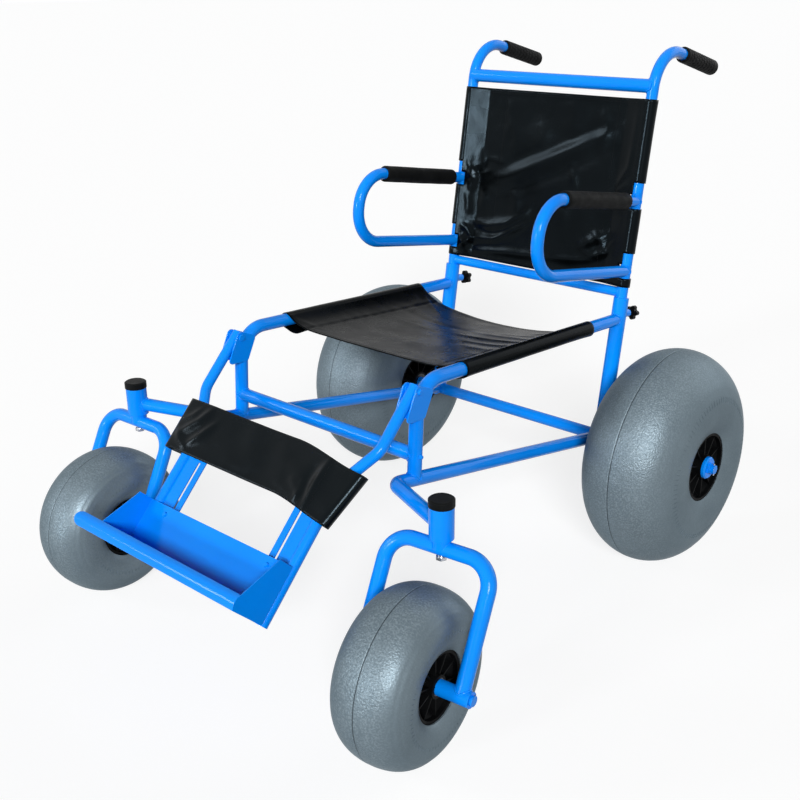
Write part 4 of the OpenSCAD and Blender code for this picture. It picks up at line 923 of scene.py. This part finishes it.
def strap_lift(grid, x, v, front):
    """How far the strap's vinyl stands out: folds and hems, kept off the tubes."""
    waves = ripples(grid, (40.0, 2.3, 0.5), (17.0, 6.1, 0.16))
    lift = (folded(x, v, STRAP_FOLDS) + waves) * front
    tube_x = np.interp(v + STRAP_START, [CRANK_TOP, CRANK_LOW], [HALF_W, TUBE_LOW_X])
    over_tube = bell(np.abs(x) - tube_x, 15.0)
    lift = np.where(over_tube > 0.2, np.maximum(lift, -0.2), lift)
    return lift + 0.45 * smooth_step(np.minimum(v, STRAP_LENGTH - v), 9.0, 7.0) * front


def calf_strap():
    """The calf strap, flat over the legrest's tubes and folded round their outsides."""
    shares = np.linspace(0.0, 1.0, 29)
    grid = strap_grid(shares)
    x, v, front = sheet_places(grid, shares * STRAP_LENGTH, len(STRAP_SHARES))
    sew(
        "strap", "calf_strap", "legrest", STRAP_VINYL,
        grid, strap_lift(grid, x, v, front), LEG_OUT, front, STRAP_SEAMS, 1,
    )


seat_sling()
back_sling()
calf_strap()

# Tyres


def tyre_profile(ring_r, spread, r, flange_r, hub_half, wall):
    """Closed section of a tyre as (radius, x), from bead to bead over the tread and back inside."""
    square = 2.25 if spread > 0 else 2.0
    grooves = ((0.36 * r, 0.35, 1.3), (0.80 * r + spread, 0.45, 1.6), (0.92 * r + spread, 0.4, 1.5))
    bead = math.asin(((ring_r - flange_r) / r) ** (square / 2.0))
    outer = []
    steps = 56
    for i in range(steps + 1):
        a = -bead + (math.pi / 2 + bead) * i / steps
        c = max(math.cos(a), 0.0) ** (2.0 / square)
        s = math.copysign(abs(math.sin(a)) ** (2.0 / square), a)
        dip = 0.0
        x = (spread + r) * c
        for at, deep, width in grooves:
            dip += deep * math.exp(-(((x - at) / width) ** 2)) * (1.0 if s > -0.2 else 0.0)
        outer.append((ring_r + (r - dip) * s, (spread + r - dip) * c))
    seam = [(ring_r + r - 0.05, 2.6), (ring_r + r - 0.2, 1.5), (ring_r + r - 1.1, 0.7)]
    right = [p for p in outer[:-1] if p[1] > 2.8] + seam
    lip_r, lip_x = flange_r + 0.35, outer[0][1]
    half = [(lip_r, hub_half - 9.0), (lip_r, lip_x - 2.5), (flange_r + 0.8, lip_x - 0.8)] + right
    inner_r = r - wall
    inside = []
    for i in range(17):
        a = -0.5 + (math.pi / 2 + 0.5) * i / 16
        inside.append((ring_r + inner_r * math.sin(a), spread + inner_r * math.cos(a)))
    bore = flange_r + wall
    inside_half = [(bore, hub_half - 11.0)] + [p for p in inside if p[1] > 0.5 and p[0] > bore + 1.0]
    left = [(radius, -x) for radius, x in half]
    left_inside = [(radius, -x) for radius, x in inside_half]
    outside = half + [(ring_r + r - 1.4, 0.0)] + left[::-1]
    return outside + left_inside + [(ring_r + inner_r, 0.0)] + inside_half[::-1]


def tick_ring(ring_r, spread, r, low, high, count, swell):
    """A plain ring of short raised ribs on both side walls, along x."""
    parts = []
    for k in (-1, 1):
        for n in range(count):
            turn = 2.0 * math.pi * (n + 0.25 * (k + 1)) / count
            ring = []
            for share in (0.0, 0.25, 0.75, 1.0):
                a = low + (high - low) * share
                rise = swell if 0.0 < share < 1.0 else -0.15
                for across, lift in ((-0.55, -0.5), (-0.35, rise), (0.35, rise), (0.55, -0.5)):
                    radius = ring_r + (r + lift) * math.sin(a)
                    x = spread + (r + lift) * math.cos(a)
                    c, s = math.cos(turn), math.sin(turn)
                    ring.append(np.array([k * x, radius * c - across * s, radius * s + across * c]))
            faces = grid_faces(4, 4, wrap=True) + [(0, 1, 2, 3), (15, 14, 13, 12)]
            parts.append((ring, faces if k > 0 else [tuple(reversed(face)) for face in faces]))
    return parts


def make_tyre(name, body, centre, turn, profile, ticks, skin, steps):
    """A tyre's skin and its ribs, drawn about its own axis and set on its wheel."""
    made = mesh_object(name, *gather([lathe(profile, np.zeros(3), OUT, steps)] + ticks), skin)
    made.data.set_sharp_from_angle(angle=math.radians(50.0))
    made.matrix_world = Matrix.Translation(Vector((centre * MM).tolist())) @ Matrix.Rotation(turn, 4, "Z")
    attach(made, body)
    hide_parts(name.replace("skin", "tyre"))


REAR_RING, REAR_SECTION, REAR_X, REAR_STEPS = 130.0, 115.0, 416.5, 176
CASTER_RING, CASTER_SPREAD, CASTER_SECTION, CASTER_STEPS = 100.0, 16.0, 59.0, 144
rear_profile = tyre_profile(REAR_RING, 0.0, REAR_SECTION, 78.0, 101.5, 4.0)
rear_ticks = tick_ring(REAR_RING, 0.0, REAR_SECTION, 0.16, 0.30, 90, 0.8)
caster_profile = tyre_profile(CASTER_RING, CASTER_SPREAD, CASTER_SECTION, 65.0, 61.0, 4.0)
caster_ticks = tick_ring(CASTER_RING, CASTER_SPREAD, CASTER_SECTION, -0.05, 0.10, 72, 0.7)
HEAD_X, HEAD_Y, TRAIL, CASTER_R = 431.5, -468.1155, 101.0, 159.0
SWIVEL = {"left": math.radians(6.8), "right": math.radians(2.5)}
SIDES = (("left", 1.0), ("right", -1.0))
for name, k in SIDES:
    make_tyre(
        f"{name}_rear_skin", f"{name}_rear_wheel", side(k * REAR_X, AXLE), 0.0,
        rear_profile, rear_ticks, REAR_SKIN, REAR_STEPS,
    )
    turn = SWIVEL[name]
    hub_place = np.array([k * HEAD_X + TRAIL * math.sin(turn), HEAD_Y - TRAIL * math.cos(turn), CASTER_R])
    make_tyre(
        f"{name}_caster_skin", f"{name}_caster_wheel", hub_place, turn,
        caster_profile, caster_ticks, CASTER_SKIN, CASTER_STEPS,
    )

# Arm pads and push grips, with the places of the back's parts along its canes

ARM_L, ARM_LOW_L, CLAMP_L = 549.0, 392.0, 293.0
UPPER_BAR_L, LOWER_BAR_L, HANDLE_L = 798.0, 342.4, 886.0
HANDLE_LENGTH = 256.0


def rounded_tube(bore, outer, length, round_r, steps=8, extra=24, closed_end=0.0):
    """Closed section of a sleeve with rounded ends, as (radius, distance along).

    With closed_end, the far end has a wall of that thickness."""
    section = [(bore, 0.0)]
    for i in range(steps + 1):
        a = math.pi / 2 * i / steps
        section.append((outer - round_r + round_r * math.sin(a), round_r - round_r * math.cos(a)))
    for i in range(1, extra):
        section.append((outer, round_r + (length - 2.0 * round_r) * i / extra))
    for i in range(steps + 1):
        a = math.pi / 2 * i / steps
        section.append((outer - round_r + round_r * math.cos(a), length - round_r + round_r * math.sin(a)))
    if closed_end:
        section += [(0.4, length), (0.4, length - closed_end), (bore, length - closed_end)]
    else:
        section.append((bore, length))
    return section


def make_pad(name, k):
    """A foam arm pad, a little worn on top."""
    start, length, outer = 45.0, 252.0, 18.75
    place = side(k * HALF_W, on_back(ARM_L, start))

    def soft(r, z, a):
        if r < ARM_R + 1.0:
            return r
        around = (40.0 * math.cos(a), 40.0 * math.sin(a), z)
        waist = 0.35 * math.sin(math.pi * z / length) + 0.3 * wobble(around, 34.0, k)
        worn = 0.5 * math.exp(-(((z - 0.45 * length) / 70.0) ** 2)) * max(0.0, math.sin(a + 1.57)) ** 2
        return r - 0.35 + waist - worn

    profile = rounded_tube(ARM_R + 0.25, outer, length, 4.0, extra=40)
    made = mesh_object(name, *lathe(profile, place, along(BACK_FWD), 56, soft), FOAM)
    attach(made, "backrest")
    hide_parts(name.replace("foam", "pad"))


def make_grip(name, k):
    """A rubber push grip with rings of shallow flutes."""
    length, end, outer = 153.0, 6.0, 17.75
    tip = on_back(HANDLE_L) + HANDLE_LENGTH * HANDLE
    place = side(k * HALF_W, tip + (end - length) * HANDLE)
    flutes, rings, ring_gap, plain = 12, 9, 13.0, 11.0

    def ribbed(r, z, a):
        if r < outer - 2.0 or z < plain:
            return r
        ring = (z - plain) / ring_gap
        in_ring = abs(ring - math.floor(ring) - 0.5) * 2.0
        shift = 0.5 * (math.floor(ring) % 2)
        flute = abs(((a / (2.0 * math.pi) * flutes + shift) % 1.0) - 0.5) * 2.0
        groove = max(smooth_step(in_ring, 0.72, 0.96), smooth_step(flute, 0.66, 0.94))
        inside = 1.0 if ring < rings else 0.0
        return r - 1.15 * groove * inside

    profile = rounded_tube(CANE_R + 0.2, outer, length, 4.5, extra=110, closed_end=5.0)
    made = mesh_object(name, *lathe(profile, place, along(HANDLE), 120, ribbed), RUBBER)
    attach(made, "backrest")
    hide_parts(name.replace("rubber", "grip"))


for name, k in SIDES:
    make_pad(f"{name}_arm_foam", k)
    make_grip(f"{name}_push_rubber", k)

# Weld beads


def saddle(point, direction, r, main_point, main_direction, main_r, steps=72):
    """The closed line where a tube from point along direction leaves the skin of a main tube."""
    d, m = unit(direction), unit(main_direction)
    d_side = d - (d @ m) * m
    path = []
    for _, ray in circle(*frame_of(d), steps):
        p = point + r * ray - main_point
        p_side = p - (p @ m) * m
        qa, qb, qc = d_side @ d_side, 2.0 * p_side @ d_side, p_side @ p_side - main_r * main_r
        t = (-qb + math.sqrt(max(0.0, qb * qb - 4.0 * qa * qc))) / (2.0 * qa)
        path.append(p + t * d + main_point)
    return np.array(path)


def bead(path, size=2.1, seed=0.0):
    """Points and faces of a rippled bead along a closed line."""
    spacing, ripple_length = 0.9, 3.6
    path = np.asarray(path)
    run = np.cumsum(np.linalg.norm(path - np.roll(path, 1, axis=0), axis=1))
    at = np.linspace(0.0, run[-1], int(run[-1] / spacing), endpoint=False)
    loop = np.concatenate([path[-1:], path])
    loop_run = np.concatenate([[0.0], run])
    dense = part_way(at, loop_run, loop).T
    ripple = np.abs(np.sin(math.pi * at / ripple_length))
    drift = np.array([wobble(p, 14.0, seed) for p in dense])
    return sweep(dense, size * (0.86 + 0.14 * ripple + 0.10 * drift))


def mirrored(parts):
    """The same beads on the chair's other side."""
    flip = np.array([-1.0, 1.0, 1.0])
    return [
        ([np.asarray(p) * flip for p in points], [tuple(reversed(face)) for face in faces])
        for points, faces in parts
    ]


def weld_piece(name, parts, body):
    """One painted piece of several beads."""
    made = mesh_object(name, *gather(parts), PAINT)
    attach(made, body)


def on_bend(path):
    """A line round a cane, moved back where the cane has begun its bend to the handle."""
    bend_start, bend_r = 793.2, 85.0
    past = np.maximum((path - side(0.0, AXLE)) @ along(BACK_UP) - bend_start, 0.0)
    return path - (past ** 2 / (2.0 * bend_r))[:, None] * along(BACK_FWD)


HEAD_R, LOWER_BAR_R, CLAMP_BOSS_R, FORK_AXLE_R = 22.25, 11.1, 9.0, 14.5
FORK_HALF_W, CROWN_Z, OUTRIGGER_Z = 105.0, 357.0, 400.0
side_fwd = unit(LEG_FOOT - AXLE)
nose = LEG_FOOT + 56.0 * side_fwd
upright_line = (side(HALF_W, AXLE), along(BACK_UP), UPRIGHT_R)
rail_line = (side(HALF_W, AXLE), along(side_fwd), TUBE_R)
leg_line = (side(HALF_W, LEG_FOOT), along(SEAT_UP), TUBE_R)
cane_line = (side(HALF_W, AXLE), along(BACK_UP), CANE_R)
head_line = (np.array([HEAD_X, HEAD_Y, 0.0]), UP, HEAD_R)
head_joint = np.array([HEAD_X, HEAD_Y, OUTRIGGER_Z])
outrigger = head_joint - side(HALF_W, nose)
frame_welds = [
    bead(saddle(side(HALF_W, SEAT_ROOT), along(SEAT_FWD), TUBE_R, *upright_line), 2.3, 1.0),
    bead(saddle(side(HALF_W, AXLE), along(side_fwd), TUBE_R, *upright_line), 2.2, 2.0),
    bead(saddle(side(HALF_W, LEG_FOOT), along(SEAT_UP), TUBE_R, *rail_line), 2.2, 3.0),
    bead(saddle(side(HALF_W, CROSS), -OUT, TUBE_R, *leg_line), 2.1, 4.0),
    bead(saddle(head_joint, -outrigger, TUBE_R, *head_line), 2.3, 5.0),
    bead(saddle(side(HALF_W, on_back(CLAMP_L)), along(-BACK_FWD), CLAMP_BOSS_R, *upright_line), 1.6, 6.0),
]
weld_piece("frame_welds", frame_welds + mirrored(frame_welds), "frame")
back_welds = [
    bead(on_bend(saddle(side(HALF_W, on_back(UPPER_BAR_L)), -OUT, UPPER_BAR_R, *cane_line)), 2.2, 7.0),
    bead(saddle(side(HALF_W, on_back(LOWER_BAR_L)), -OUT, LOWER_BAR_R, *cane_line), 1.9, 8.0),
    bead(saddle(side(HALF_W, on_back(ARM_L)), along(BACK_FWD), ARM_R, *cane_line), 2.1, 9.0),
    bead(saddle(side(HALF_W, on_back(ARM_LOW_L)), along(BACK_FWD), ARM_R, *cane_line), 2.1, 10.0),
]
weld_piece("back_welds", back_welds + mirrored(back_welds), "backrest")


def fork_welds(name, k):
    """The beads where a fork's legs meet its axle tube, turned with the caster at rest."""
    turn = SWIVEL[name]
    c, s = math.cos(turn), math.sin(turn)

    def out(p):
        return np.array([k * HEAD_X + c * p[0] - s * p[1], HEAD_Y + s * p[0] + c * p[1], p[2]])

    parts = []
    axle = np.array([0.0, -TRAIL, CASTER_R])
    leg = np.array([0.0, TRAIL, CROWN_Z - CASTER_R])
    for x in (-FORK_HALF_W, FORK_HALF_W):
        path = saddle(axle + x * OUT, leg, TUBE_R, axle, OUT, FORK_AXLE_R)
        parts.append(bead([out(p) for p in path], 2.1, 11.0 + x))
    weld_piece(f"{name}_fork_welds", parts, f"{name}_caster")


for name, k in SIDES:
    fork_welds(name, k)
